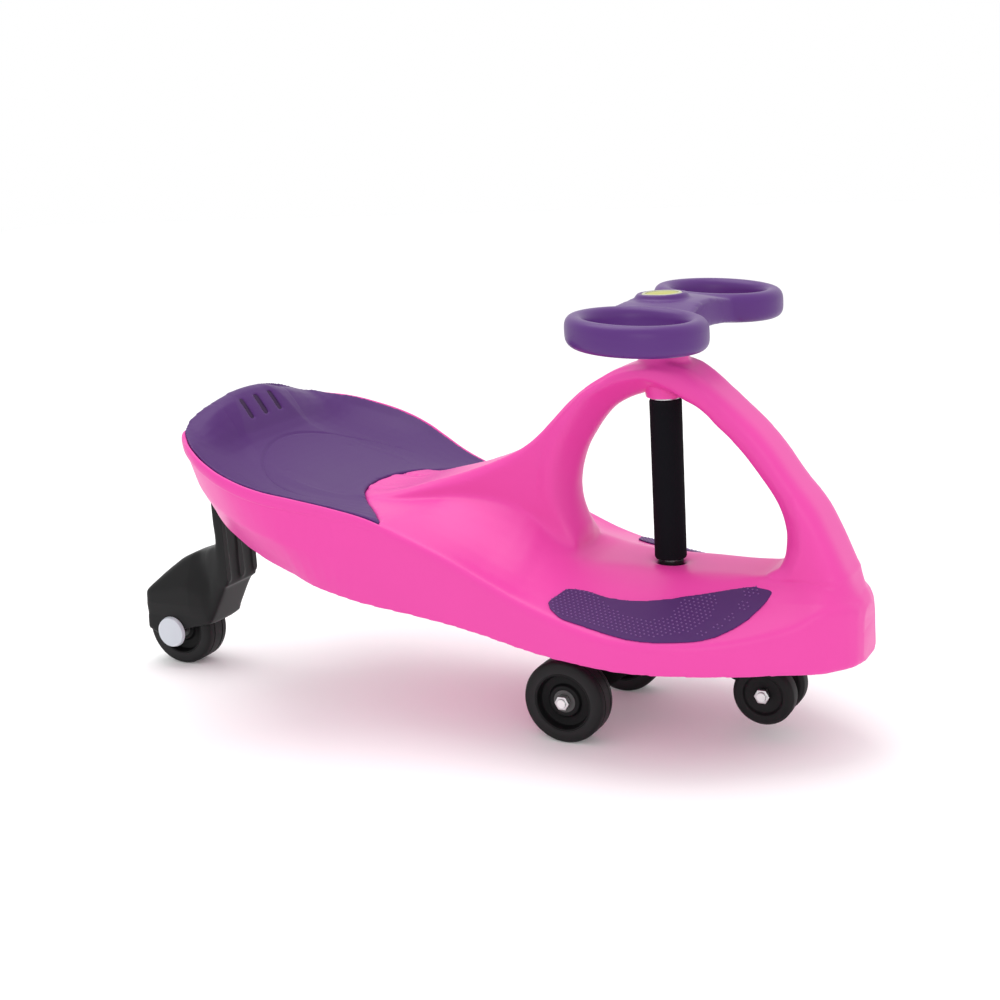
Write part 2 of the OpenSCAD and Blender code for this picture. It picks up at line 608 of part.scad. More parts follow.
module shaft() {
    color([0.7, 0.7, 0.72])
        difference() {
            translate([column_x, 0, shaft_low])
                cylinder(h = shaft_high - shaft_low, r = shaft_r);
            bar_y(column_x, -shaft_r - over, shaft_r + over, clamp_z, clamp_r);
            translate([column_x, 0, shaft_high - bolt_l])
                cylinder(h = bolt_l + over, r = bolt_r);
        }
}

module column_grip() {
    color([0.04, 0.04, 0.045])
        translate([column_x, 0, grip_low])
            difference() {
                cylinder(h = grip_high - grip_low, r = grip_r);
                translate([0, 0, -over])
                    cylinder(h = grip_high - grip_low + 2 * over, r = shaft_r);
            }
}

module column_ring() {
    color([0.75, 0.75, 0.77])
        translate([column_x, 0, grip_high])
            difference() {
                cylinder(h = ring_t, r = ring_r);
                translate([0, 0, -over])
                    cylinder(h = ring_t + 2 * over, r = shaft_r);
            }
}

module loop_ring(s) {
    translate([loop_x, s * loop_y, loop_z])
        rotate_extrude()
            translate([loop_r, 0]) {
                square([2 * rim_r, rim_h], center = true);
                for (k = [-1, 1])
                    translate([0, k * rim_h / 2])
                        circle(r = rim_r);
            }
}

// Plate joining the loops, its top sloping down from the hub
module wheel_web() {
    side = [for (p = web_shares) loop_r * p];
    plan = concat(side, [for (k = [len(side) - 2:-1:1]) [side[k][0], -side[k][1]]]);
    low = loop_z - web_t / 2;
    far = loop_y + loop_ahead;
    difference() {
        intersection() {
            translate([column_x, 0, low])
                linear_extrude(hub_high - low)
                    polygon(smooth_loop(plan, 4));
            translate([column_x, 0, low - over])
                cylinder(h = slope_z - low + over, r1 = far * 2, r2 = hub_r);
        }
        for (s = [-1, 1])
            translate([loop_x, s * loop_y, 0])
                cylinder(h = arch_z * 2, r = loop_r);
    }
}

module steering_wheel() {
    color([0.32, 0.15, 0.5])
        difference() {
            union() {
                loop_ring(-1);
                loop_ring(1);
                wheel_web();
                translate([column_x, 0, hub_low])
                    cylinder(h = loop_z - hub_low, r1 = crown_boss_r, r2 = hub_r);
                translate([column_x, 0, loop_z])
                    cylinder(h = hub_high - loop_z, r1 = hub_r, r2 = badge_r + seat_wall);
            }
            translate([column_x, 0, hub_low - over])
                cylinder(h = shaft_high - hub_low + over, r = shaft_r);
            translate([column_x, 0, shaft_high])
                cylinder(h = hub_high - shaft_high, r = pocket_r);
            translate([column_x, 0, hub_high - badge_t])
                cylinder(h = badge_t + over, r = badge_r);
        }
}

module badge() {
    color([0.85, 0.9, 0.1])
        translate([column_x, 0, hub_high - badge_t])
            cylinder(h = badge_t, r = badge_r);
}

module steering_bolt() {
    color([0.7, 0.7, 0.72])
        translate([column_x, 0, shaft_high]) {
            translate([0, 0, -bolt_l])
                cylinder(h = bolt_l + head_t / 2, r = bolt_r);
            cylinder(h = head_t / 2, r = pocket_r);
            translate([0, 0, head_t / 2])
                cylinder(h = head_t, r = head_r, $fn = 6);
        }
}

module carriage() {
    color([0.05, 0.05, 0.055])
        difference() {
            union() {
                translate([column_x, 0, carriage_low])
                    cylinder(h = carriage_high - carriage_low, r = carriage_r);
                side_plate([for (p = rear_arm_shares) [column_x - p[0] * trail, p[1] * carriage_high]],
                    rear_arm_half);
                bar_y(main_x, -cross_half, cross_half, main_r, cross_r);
                side_plate([for (p = front_arm_shares) [column_x + p[0] * lead, p[1] * carriage_high]],
                    front_arm_half);
                bar_y(small_x, -front_arm_half, front_arm_half, small_z, eye_r);
                bar_y(small_x, -eye_half, eye_half, small_z, spacer_r);
            }
            translate([column_x, 0, shaft_low])
                cylinder(h = carriage_high, r = shaft_r);
            bar_y(main_x, -cross_half - over, cross_half + over, main_r, axle_r);
            bar_y(small_x, -eye_half - over, eye_half + over, small_z, axle_r);
            bar_y(column_x, -carriage_r - over, carriage_r + over, clamp_z, clamp_r);
        }
}

module clamp_bolt() {
    color([0.7, 0.7, 0.72]) {
        bar_y(column_x, -carriage_r - head_t, carriage_r + head_t, clamp_z, clamp_r);
        for (y = [-carriage_r - head_t, carriage_r])
            translate([column_x, y, clamp_z])
                rotate([-90, 0, 0])
                    cylinder(h = head_t, r = head_r, $fn = 6);
    }
}

module main_axle() {
    color([0.7, 0.7, 0.72])
        bar_y(main_x, -nut_main - nut_t - axle_past, nut_main + nut_t + axle_past, main_r, axle_r);
}

// Ring along Y between two places
module ring_y(x, y0, y1, z, r, hole) {
    difference() {
        bar_y(x, y0, y1, z, r);
        bar_y(x, y0 - over, y1 + over, z, hole);
    }
}

module main_spacer(s) {
    inner = main_out - main_w + bearing_deep;
    color([0.7, 0.7, 0.72])
        ring_y(main_x, s < 0 ? -inner + move_gap : cross_half, s < 0 ? -cross_half : inner - move_gap, main_r,
            spacer_r, axle_r);
}

// Hexagon nut on an axle
module axle_nut(x, y, z, s) {
    color([0.75, 0.75, 0.77])
        translate([x, y, z])
            rotate([s < 0 ? 90 : -90, 0, 0])
                difference() {
                    cylinder(h = nut_t, r = nut_r, $fn = 6);
                    translate([0, 0, -over])
                        cylinder(h = nut_t + 2 * over, r = axle_r);
                }
}

// Tyre turned from its section, standing at the origin on the Y axis
module tyre(r, w) {
    h = w / 2;
    color([0.05, 0.05, 0.055])
        rotate([90, 0, 0])
            rotate_extrude()
                polygon([[r - tyre_t, -h], [r - shoulder, -h], [r - shoulder * 0.3, -h + shoulder * 0.3],
                    [r, -h + shoulder], [r, h - shoulder], [r - shoulder * 0.3, h - shoulder * 0.3],
                    [r - shoulder, h], [r - tyre_t, h]]);
}

// Puts a wheel's piece in a main wheel's place
module at_main(s) {
    translate([main_x, s * main_mid, main_r])
        children();
}

// Hub turned from its section, with a bearing seat at each end
module wheel_hub(r, w) {
    h = w / 2;
    e = h - bearing_deep;
    color([0.07, 0.07, 0.075])
        rotate([90, 0, 0])
            rotate_extrude()
                polygon([[bearing_r, -e], [bearing_r + seat_wall, -e],
                    [bearing_r + seat_wall * 1.5, -h + dish_d], [r - tyre_t - seat_wall, -h + dish_d],
                    [r - tyre_t - seat_wall * 0.5, -h], [r - tyre_t, -h], [r - tyre_t, h],
                    [r - tyre_t - seat_wall * 0.5, h], [r - tyre_t - seat_wall, h - dish_d],
                    [bearing_r + seat_wall * 1.5, h - dish_d], [bearing_r + seat_wall, e], [bearing_r, e],
                    [bearing_r, e - bearing_w], [bearing_r - seat_wall / 2, e - bearing_w],
                    [bearing_r - seat_wall / 2, bearing_w - e], [bearing_r, bearing_w - e]]);
}

// Ball bearing closed by its shields
module bearing(x, y, z) {
    color([0.72, 0.72, 0.74])
        translate([x, y, z])
            rotate([90, 0, 0])
                difference() {
                    cylinder(h = bearing_w, r = bearing_r, center = true);
                    cylinder(h = bearing_w + 2 * over, r = axle_r + run_gap, center = true);
                }
}

// One-piece small wheel with a plain bore
module small_wheel(s) {
    h = small_w / 2;
    color([0.05, 0.05, 0.055])
        translate([small_x, s * (small_out - h), small_z])
            rotate([90, 0, 0])
                rotate_extrude()
                    polygon([[axle_r + run_gap, -h + small_dish], [small_r * 0.6, -h + small_dish],
                        [small_r * 0.66, -h], [small_r - shoulder * 0.8, -h], [small_r, -h + shoulder * 0.8],
                        [small_r, h - shoulder * 0.8], [small_r - shoulder * 0.8, h], [small_r * 0.66, h],
                        [small_r * 0.6, h - small_dish], [axle_r + run_gap, h - small_dish]]);
}

module small_axle() {
    color([0.7, 0.7, 0.72])
        bar_y(small_x, -nut_small - nut_t - axle_past, nut_small + nut_t + axle_past, small_z, axle_r);
}

module rear_bracket() {
    hood = function (p) [rear_x + p[0] * rear_r, p[1] * rear_r];
    wheel_half = hood_half - cheek_t;
    color([0.05, 0.05, 0.055])
        difference() {
            union() {
                hull() {
                    side_plate([for (p = ridge_shares) hood(p)], ridge_half);
                    side_plate([for (p = cheek_shares) hood(p)], hood_half);
                }
                translate([-stem_back, -stem_half, arch_z * 0.28])
                    cube([stem_t, 2 * stem_half, flange_z - arch_z * 0.28]);
                for (y = [-stem_half, -rib_w / 2, stem_half - rib_w])
                    translate([-stem_back, y, arch_z * 0.3])
                        cube([stem_t + rib_d, rib_w, flange_z - arch_z * 0.3]);
                translate([-stem_back, -flange_half, flange_z - flange_t])
                    cube([stem_back - flange_front, 2 * flange_half, flange_t]);
            }
            bar_y(rear_x, -wheel_half, wheel_half, rear_r, rear_r + hood_gap);
            bar_y(rear_x, -hood_half - over, hood_half + over, rear_r, axle_r);
            for (x = [bolt_back_a, bolt_back_b], s = [-1, 1])
                translate([-x, s * bolt_y, flange_z - flange_t - over])
                    cylinder(h = flange_t + 2 * over, r = bolt_r);
        }
}

module rear_axle() {
    color([0.7, 0.7, 0.72])
        bar_y(rear_x, -hood_half - cap_t / 2, hood_half + cap_t / 2, rear_r, axle_r);
}

module rear_spacer(s) {
    outer = hood_half - cheek_t;
    inner = rear_w / 2 - bearing_deep + move_gap;
    color([0.7, 0.7, 0.72])
        ring_y(rear_x, s < 0 ? -outer : inner, s < 0 ? -inner : outer, rear_r, spacer_r, axle_r);
}

module rear_cap(s) {
    color([0.86, 0.87, 0.9])
        translate([rear_x, s * hood_half, rear_r])
            rotate([s < 0 ? 90 : -90, 0, 0])
                difference() {
                    cylinder(h = cap_t, r1 = cap_r, r2 = cap_r * 0.94);
                    translate([0, 0, -over])
                        cylinder(h = over + cap_t / 2, r = axle_r);
                }
}

module bracket_bolt(x, s) {
    color([0.7, 0.7, 0.72])
        translate([-x, s * bolt_y, flange_z - flange_t]) {
            cylinder(h = bolt_l, r = bolt_r);
            translate([0, 0, -head_t])
                cylinder(h = head_t, r = head_r, $fn = 6);
        }
}

module seat_screw(s) {
    color([0.7, 0.7, 0.72])
        translate([-seat_screw_back, s * seat_screw_y, seat_screw_z]) {
            cylinder(h = seat_screw_l, r = seat_screw_r);
            translate([0, 0, -head_t])
                cylinder(h = head_t, r = head_r);
        }
}

body_shell();
seat();
foot_pad(-1);  // foot_pad_right
foot_pad(1);  // foot_pad_left
bush(neck_boss_z - bush_flange_t, crown_boss_z);  // upper_bush
bush(bush_low, grip_low - move_gap * 4);  // lower_bush
rear_bracket();
rear_axle();
rear_spacer(-1);  // rear_spacer_right
rear_spacer(1);  // rear_spacer_left
rear_cap(-1);  // rear_cap_right
rear_cap(1);  // rear_cap_left
bracket_bolt(bolt_back_a, -1);  // bracket_bolt_rr
bracket_bolt(bolt_back_a, 1);  // bracket_bolt_rl
bracket_bolt(bolt_back_b, -1);  // bracket_bolt_fr
bracket_bolt(bolt_back_b, 1);  // bracket_bolt_fl
seat_screw(-1);  // seat_screw_right
seat_screw(1);  // seat_screw_left
shaft();
column_grip();
column_ring();
steering_wheel();
badge();
steering_bolt();
carriage();
clamp_bolt();
main_axle();
main_spacer(-1);  // main_spacer_right
main_spacer(1);  // main_spacer_left
axle_nut(main_x, -nut_main, main_r, -1);  // main_nut_right
axle_nut(main_x, nut_main, main_r, 1);  // main_nut_left
small_axle();
axle_nut(small_x, -nut_small, small_z, -1);  // small_nut_right
axle_nut(small_x, nut_small, small_z, 1);  // small_nut_left
at_main(-1) tyre(main_r, main_w);  // main_tyre_right
at_main(-1) wheel_hub(main_r, main_w);  // main_hub_right
bearing(main_x, bearing_in - main_out, main_r);  // main_bearing_right
bearing(main_x, -bearing_far, main_r);  // main_bearing_inner_right
at_main(1) tyre(main_r, main_w);  // main_tyre_left
at_main(1) wheel_hub(main_r, main_w);  // main_hub_left
bearing(main_x, main_out - bearing_in, main_r);  // main_bearing_left
bearing(main_x, bearing_far, main_r);  // main_bearing_inner_left
small_wheel(-1);  // small_wheel_right
small_wheel(1);  // small_wheel_left
translate([rear_x, 0, rear_r]) tyre(rear_r, rear_w);  // rear_tyre
translate([rear_x, 0, rear_r]) wheel_hub(rear_r, rear_w);  // rear_hub
bearing(rear_x, bearing_in - rear_w / 2, rear_r);  // rear_bearing_right
bearing(rear_x, rear_w / 2 - bearing_in, rear_r);  // rear_bearing_left
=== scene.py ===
# %% [markdown]
# # A swing-steered ride-on car, dressed step by step
# The solids of the car are already drawn and packed. In this lesson they get the soft edges, the
# small forms and the finishes of the real toy. Every piece stays where its solid is, and moves with it.

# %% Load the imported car
import json
import math

import bmesh
import bpy
import numpy as np
from mathutils import Matrix, Vector


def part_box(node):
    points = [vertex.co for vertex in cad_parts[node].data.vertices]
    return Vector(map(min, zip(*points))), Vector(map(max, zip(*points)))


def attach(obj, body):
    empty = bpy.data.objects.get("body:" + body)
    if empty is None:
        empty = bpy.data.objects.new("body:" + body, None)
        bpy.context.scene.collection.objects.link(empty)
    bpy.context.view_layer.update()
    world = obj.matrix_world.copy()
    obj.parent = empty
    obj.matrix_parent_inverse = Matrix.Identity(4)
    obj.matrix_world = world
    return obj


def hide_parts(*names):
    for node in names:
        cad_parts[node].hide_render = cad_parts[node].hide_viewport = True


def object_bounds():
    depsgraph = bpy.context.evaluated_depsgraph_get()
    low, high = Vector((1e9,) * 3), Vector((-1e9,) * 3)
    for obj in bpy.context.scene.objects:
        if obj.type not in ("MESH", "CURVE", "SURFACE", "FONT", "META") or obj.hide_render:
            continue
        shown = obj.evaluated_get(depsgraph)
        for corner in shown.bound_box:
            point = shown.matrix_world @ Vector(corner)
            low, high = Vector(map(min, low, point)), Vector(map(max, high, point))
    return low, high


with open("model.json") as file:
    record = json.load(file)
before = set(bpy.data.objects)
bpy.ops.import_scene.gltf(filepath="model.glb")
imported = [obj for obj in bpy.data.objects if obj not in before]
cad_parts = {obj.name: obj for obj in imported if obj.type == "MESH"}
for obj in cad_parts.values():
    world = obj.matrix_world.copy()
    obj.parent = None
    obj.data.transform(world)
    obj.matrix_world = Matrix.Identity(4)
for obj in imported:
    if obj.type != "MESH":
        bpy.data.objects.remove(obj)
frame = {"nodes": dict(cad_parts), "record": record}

MM = 0.001
solid_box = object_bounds()
body_of_node = {
    node: body
    for body, nodes in frame["record"]["behaviour"]["bodies"].items()
    for node in nodes
}
print("nodes", len(body_of_node), "box", [round(x, 3) for p in solid_box for x in p])

# %% [markdown]
# ## The camera
# The picture was taken from the front right, a little above the steering wheel, with the camera
# rolled by a few degrees. Yaw, pitch and roll are turned into three axes, because a tracking
# constraint can't roll.

# %% Set up the camera
YAW, PITCH, ROLL = (math.radians(x) for x in (27.9, 13.9, -3.5))
CAMERA_PLACE = (0.7555, -1.3490, 0.5899)
LENS, SENSOR = 56.88, 36
ahead = Vector((-math.sin(YAW) * math.cos(PITCH), math.cos(YAW) * math.cos(PITCH), -math.sin(PITCH)))
level = Vector((math.cos(YAW), math.sin(YAW), 0))
upright = level.cross(ahead)
across = level * math.cos(ROLL) + upright * math.sin(ROLL)
upward = upright * math.cos(ROLL) - level * math.sin(ROLL)
lens = bpy.data.cameras.new("studio_camera")
lens.lens = LENS
lens.sensor_width = SENSOR
camera = bpy.data.objects.new("studio_camera", lens)
bpy.context.scene.collection.objects.link(camera)
camera.location = CAMERA_PLACE
camera.rotation_euler = Matrix((across, upward, -ahead)).transposed().to_euler()
bpy.context.scene.camera = camera
print("camera", [round(x, 3) for x in camera.location], "lens", lens.lens)

# %% [markdown]
# ## Floor and light
# A toy in a catalogue stands on white paper in a white tent. The floor is one large plane with a dull
# finish, which glows faintly so that it stays as pale as the paper does.

# %% Lay the floor
FLOOR_SIZE = 14
bpy.ops.object.select_all(action="DESELECT")
bpy.ops.mesh.primitive_plane_add(size=FLOOR_SIZE, location=(0, 0, 0))
floor = bpy.context.object
floor.name = "studio_floor"


def new_material(name):
    """An empty material with a Principled shader, and its node tree."""
    material = bpy.data.materials.new(name)
    material.use_nodes = True
    return material, material.node_tree, material.node_tree.nodes["Principled BSDF"]


# The sockets of a Mix node that mixes colours go by number, because some of their names are shared.
SHARE, FIRST, SECOND, MIXED = 0, 6, 7, 2


def colour_mix(tree, first=None, second=None):
    """A node that mixes two colours. A colour that isn't given is linked later."""
    mix = tree.nodes.new("ShaderNodeMix")
    mix.data_type = "RGBA"
    for socket, colour in ((FIRST, first), (SECOND, second)):
        if colour:
            mix.inputs[socket].default_value = (*colour, 1)
    return mix


white_floor, tree, shader = new_material("studio_floor")
shader.inputs["Roughness"].default_value = 0.9
shader.inputs["Specular IOR Level"].default_value = 0.1
shader.inputs["Emission Color"].default_value = (1, 1, 1, 1)
shader.inputs["Emission Strength"].default_value = 0.07
floor_places = tree.nodes.new("ShaderNodeTexCoord")
speck = tree.nodes.new("ShaderNodeTexNoise")
speck.inputs["Scale"].default_value = 3
tree.links.new(floor_places.outputs["Object"], speck.inputs["Vector"])
tint = colour_mix(tree, (0.93, 0.93, 0.93), (0.95, 0.95, 0.95))
tree.links.new(speck.outputs["Fac"], tint.inputs[SHARE])
tree.links.new(tint.outputs[MIXED], shader.inputs["Base Color"])
floor.data.materials.append(white_floor)
print("floor", FLOOR_SIZE, "m wide")

# %% [markdown]
# In the tent light comes from all round, with one large soft lamp above and one beside the camera.
# Area lamps are used, because their large faces give the long soft highlights that show the curve of
# a moulding.

# %% Hang the lamps
world = bpy.data.worlds.new("white_tent")
world.use_nodes = True
world.node_tree.nodes["Background"].inputs["Color"].default_value = (1, 1, 1, 1)
world.node_tree.nodes["Background"].inputs["Strength"].default_value = 1.0
bpy.context.scene.world = world
bpy.context.scene.view_settings.view_transform = "Standard"


def hang_lamp(name, place, aim, size, power):
    """A square area lamp at a place, facing the point it is aimed at."""
    bulb = bpy.data.lights.new(name, "AREA")
    bulb.shape = "SQUARE"
    bulb.size = size
    bulb.energy = power
    lamp = bpy.data.objects.new(name, bulb)
    bpy.context.scene.collection.objects.link(lamp)
    lamp.location = place
    lamp.rotation_euler = (Vector(aim) - Vector(place)).to_track_quat("-Z", "Y").to_euler()
    print("lamp", name, power, "W")


hang_lamp("top_tent", (-0.3, 0.3, 2.2), (0, 0, 0.2), 1.6, 20)
hang_lamp("camera_side", (1.5, -2.0, 1.2), (0.1, 0, 0.2), 1.2, 7)

# %% [markdown]
# ## Effects that several finishes share
# Moulded plastic is never one flat colour: the tool's surface leaves a fine grain, the colour
# clouds a little, and edges that hands and shoes touch are rubbed paler. The pale colour on sharp
# edges is also a painted highlight, such as the light line along the hull's crease. Grain, clouds
# and the rub with its painted highlight are made once as node groups with named sockets, and each
# finish sets its own values.


# %% Build the grain group and the group for rub and painted highlight
def new_group(name, inputs, outputs):
    """A shader node group with float inputs {name: value} and float outputs, and its two ends."""
    group = bpy.data.node_groups.new(name, "ShaderNodeTree")
    for label, value in inputs.items():
        socket = group.interface.new_socket(label, in_out="INPUT", socket_type="NodeSocketFloat")
        socket.default_value = value
    for label in outputs:
        group.interface.new_socket(label, in_out="OUTPUT", socket_type="NodeSocketFloat")
    return group, group.nodes.new("NodeGroupInput"), group.nodes.new("NodeGroupOutput")


grain_group, given, made = new_group(
    "moulding_grain", {"Grain Scale": 900, "Cloud Scale": 9}, ["Grain", "Cloud"]
)
coordinates = grain_group.nodes.new("ShaderNodeTexCoord")
for label, detail in (("Grain", 3), ("Cloud", 2)):
    noise = grain_group.nodes.new("ShaderNodeTexNoise")
    noise.inputs["Detail"].default_value = detail
    grain_group.links.new(coordinates.outputs["Object"], noise.inputs["Vector"])
    grain_group.links.new(given.outputs[label + " Scale"], noise.inputs["Scale"])
    grain_group.links.new(noise.outputs["Fac"], made.inputs[label])

# Sharp outer edges turn paler, partly as rub and partly as a painted highlight.
rub_and_highlight_group, given, made = new_group("edge_rub_and_highlight", {"From": 0.52, "To": 0.6}, ["Rub"])
surface = rub_and_highlight_group.nodes.new("ShaderNodeNewGeometry")
spread = rub_and_highlight_group.nodes.new("ShaderNodeMapRange")
rub_and_highlight_group.links.new(surface.outputs["Pointiness"], spread.inputs["Value"])
rub_and_highlight_group.links.new(given.outputs["From"], spread.inputs["From Min"])
rub_and_highlight_group.links.new(given.outputs["To"], spread.inputs["From Max"])
rub_and_highlight_group.links.new(spread.outputs["Result"], made.inputs["Rub"])
print("groups", grain_group.name, rub_and_highlight_group.name)

# %% [markdown]
# ## The finishes
# One recipe makes every finish: two near colours mixed by the clouds, a paler one on sharp edges,
# which is partly rub and partly a painted highlight, roughness that follows the clouds, and the
# grain as bump.

# %% Write the recipe
GRAIN_DEPTH = 0.4 * MM
# Edges turn to the pale colour over this range of pointiness: partly rub, partly a painted highlight.
RUB_AND_HIGHLIGHT_FROM, RUB_AND_HIGHLIGHT_TO = 0.52, 0.6


def finish(name, colour, cloud_colour, rub_and_highlight_colour, rough, grain, bump, clouds=9, fixed=None):
    """A finish from its colours, its range of roughness, and its grain's scale and bump."""
    material, tree, shader = new_material(name)
    texture = tree.nodes.new("ShaderNodeGroup")
    texture.node_tree = grain_group
    texture.inputs["Grain Scale"].default_value = grain
    texture.inputs["Cloud Scale"].default_value = clouds
    edges = tree.nodes.new("ShaderNodeGroup")
    edges.node_tree = rub_and_highlight_group
    edges.inputs["From"].default_value, edges.inputs["To"].default_value = RUB_AND_HIGHLIGHT_FROM, RUB_AND_HIGHLIGHT_TO
    cloudy = colour_mix(tree, colour, cloud_colour)
    rub_and_highlight_mix = colour_mix(tree, second=rub_and_highlight_colour)
    gloss = tree.nodes.new("ShaderNodeMapRange")
    gloss.inputs["To Min"].default_value, gloss.inputs["To Max"].default_value = rough
    relief = tree.nodes.new("ShaderNodeBump")
    relief.inputs["Strength"].default_value = bump
    relief.inputs["Distance"].default_value = GRAIN_DEPTH
    tree.links.new(texture.outputs["Cloud"], cloudy.inputs[SHARE])
    tree.links.new(cloudy.outputs[MIXED], rub_and_highlight_mix.inputs[FIRST])
    tree.links.new(edges.outputs["Rub"], rub_and_highlight_mix.inputs[SHARE])
    tree.links.new(rub_and_highlight_mix.outputs[MIXED], shader.inputs["Base Color"])
    tree.links.new(texture.outputs["Cloud"], gloss.inputs["Value"])
    tree.links.new(gloss.outputs["Result"], shader.inputs["Roughness"])
    tree.links.new(texture.outputs["Grain"], relief.inputs["Height"])
    tree.links.new(relief.outputs["Normal"], shader.inputs["Normal"])
    for socket, value in (fixed or {}).items():
        shader.inputs[socket].default_value = value
    return material


# %% [markdown]
# Pink and purple are polypropylene with a satin gloss, tyres are matt, the foam is open-celled and steel
# is metallic. The colours are linear values, which are smaller than those of a paint program for the same
# shade. Each finish lists its main colour, the one of its clouds and the paler one of its sharp edges,
# which is partly rub and partly a painted highlight.

# %% Mix the finishes
SATIN = {"Specular IOR Level": 0.28}
DULL = {"Specular IOR Level": 0.22}
hull_pink = finish("hull_pink", (0.73, 0.054, 0.342), (0.77, 0.060, 0.365), (0.84, 0.12, 0.46),
                   rough=(0.30, 0.42), grain=1400, bump=0.06, fixed=SATIN)
seat_purple = finish("seat_purple", (0.062, 0.013, 0.122), (0.071, 0.016, 0.135), (0.11, 0.04, 0.19),
                     rough=(0.36, 0.48), grain=1600, bump=0.10, fixed=DULL)
# Painted shade: a purple far darker than the seat's, for the shade inside the slots.
slot_painted_shade = finish("slot_painted_shade", (0.020, 0.006, 0.034), (0.024, 0.007, 0.040), (0.04, 0.015, 0.06),
                   rough=(0.5, 0.6), grain=1600, bump=0.10, fixed=DULL)
pad_purple = finish("pad_purple", (0.052, 0.008, 0.100), (0.060, 0.010, 0.112), (0.12, 0.04, 0.19),
                    rough=(0.42, 0.54), grain=1800, bump=0.10, fixed=SATIN)
dot_purple = finish("dot_purple", (0.105, 0.032, 0.165), (0.125, 0.040, 0.190), (0.20, 0.09, 0.28),
                    rough=(0.30, 0.40), grain=1800, bump=0.05, fixed=SATIN)
rim_purple = finish("rim_purple", (0.082, 0.020, 0.160), (0.092, 0.024, 0.175), (0.14, 0.055, 0.23),
                    rough=(0.32, 0.42), grain=1600, bump=0.08, fixed=SATIN)
badge_green = finish("badge_green", (0.40, 0.385, 0.06), (0.44, 0.42, 0.07), (0.5, 0.5, 0.2),
                     rough=(0.30, 0.38), grain=900, bump=0.04, clouds=40, fixed=DULL)
badge_rim = finish("badge_rim", (0.40, 0.40, 0.26), (0.44, 0.44, 0.30), (0.55, 0.55, 0.4),
                   rough=(0.30, 0.38), grain=900, bump=0.04, clouds=40, fixed=DULL)
grip_black = finish("grip_black", (0.004, 0.004, 0.006), (0.006, 0.006, 0.008), (0.012, 0.012, 0.015),
                    rough=(0.80, 0.95), grain=1100, bump=0.5, clouds=60, fixed={"Specular IOR Level": 0.1})
hood_black = finish("hood_black", (0.004, 0.004, 0.0045), (0.006, 0.006, 0.0065), (0.014, 0.014, 0.015),
                    rough=(0.36, 0.48), grain=1200, bump=0.08, fixed={"Specular IOR Level": 0.2})
cap_grey = finish("cap_grey", (0.52, 0.55, 0.60), (0.58, 0.61, 0.66), (0.74, 0.76, 0.79),
                  rough=(0.36, 0.46), grain=1200, bump=0.06, clouds=30)
tyre_black = finish("tyre_black", (0.005, 0.005, 0.0055), (0.007, 0.007, 0.0075), (0.018, 0.018, 0.019),
                    rough=(0.50, 0.66), grain=1000, bump=0.25, clouds=25, fixed=DULL)
core_black = finish("core_black", (0.004, 0.004, 0.0045), (0.006, 0.006, 0.0065), (0.016, 0.016, 0.017),
                    rough=(0.42, 0.56), grain=1200, bump=0.15, clouds=25, fixed={"Specular IOR Level": 0.15})
steel_bright = finish("steel_bright", (0.52, 0.52, 0.53), (0.60, 0.60, 0.61), (0.78, 0.78, 0.78),
                      rough=(0.22, 0.36), grain=2200, bump=0.08, clouds=60, fixed={"Metallic": 1.0})
bearing_grey = finish("bearing_grey", (0.030, 0.030, 0.032), (0.045, 0.045, 0.047), (0.09, 0.09, 0.09),
                      rough=(0.40, 0.55), grain=2000, bump=0.08, clouds=60, fixed={"Metallic": 0.6})
print("finishes", len(bpy.data.materials))

# %% [markdown]
# ## From solid to moulding
# A solid has sharp edges and flat facets, and a moulding has neither. A copy of the solid is
# merged, because its triangles come loose, and is then remeshed with small cubes and smoothed,
# which rounds every edge by about the radius that the mould maker would give it.


# %% Write the helpers for copies
def pick(piece):
    """Selects one piece alone and makes it the active one."""
    bpy.ops.object.select_all(action="DESELECT")
    piece.select_set(True)
    bpy.context.view_layer.objects.active = piece


def new_piece(name, mesh=None):
    """A piece with a mesh of its own, which is empty unless one is given."""
    piece = bpy.data.objects.new(name, mesh or bpy.data.meshes.new(name))
    bpy.context.scene.collection.objects.link(piece)
    return piece


def merge(piece, within, turn_out=False):
    """Merges points closer than a distance in mm and, if asked, turns all faces outward."""
    pick(piece)
    bpy.ops.object.mode_set(mode="EDIT")
    bpy.ops.mesh.select_all(action="SELECT")
    bpy.ops.mesh.remove_doubles(threshold=within * MM)
    if turn_out:
        bpy.ops.mesh.normals_make_consistent(inside=False)
    bpy.ops.object.mode_set(mode="OBJECT")


def copy_of(node, name):
    """A merged copy of a solid, with its own mesh and no finish."""
    piece = new_piece(name, frame["nodes"][node].data.copy())
    merge(piece, 0.002)
    return piece


# %% [markdown]
# A modifier is set up and applied at once, so that the next step finds the new mesh. A piece that comes
# out with more triangles than it needs is thinned, and shaded smooth.


# %% Write the helpers for modifiers
def press(piece, kind, **settings):
    """Adds a modifier with its settings and applies it."""
    modifier = piece.modifiers.new(kind.lower(), kind)
    for label, value in settings.items():
        setattr(modifier, label, value)
    pick(piece)
    bpy.ops.object.modifier_apply(modifier=modifier.name)


def mould(piece, voxel, rounds):
    """Remeshes a piece with cubes of a size in mm, and smooths it for a number of rounds."""
    press(piece, "REMESH", mode="VOXEL", voxel_size=voxel * MM)
    press(piece, "SMOOTH", factor=0.5, iterations=rounds)


def triangles(piece):
    """How many triangles a piece has."""
    return sum(len(face.vertices) - 2 for face in piece.data.polygons)


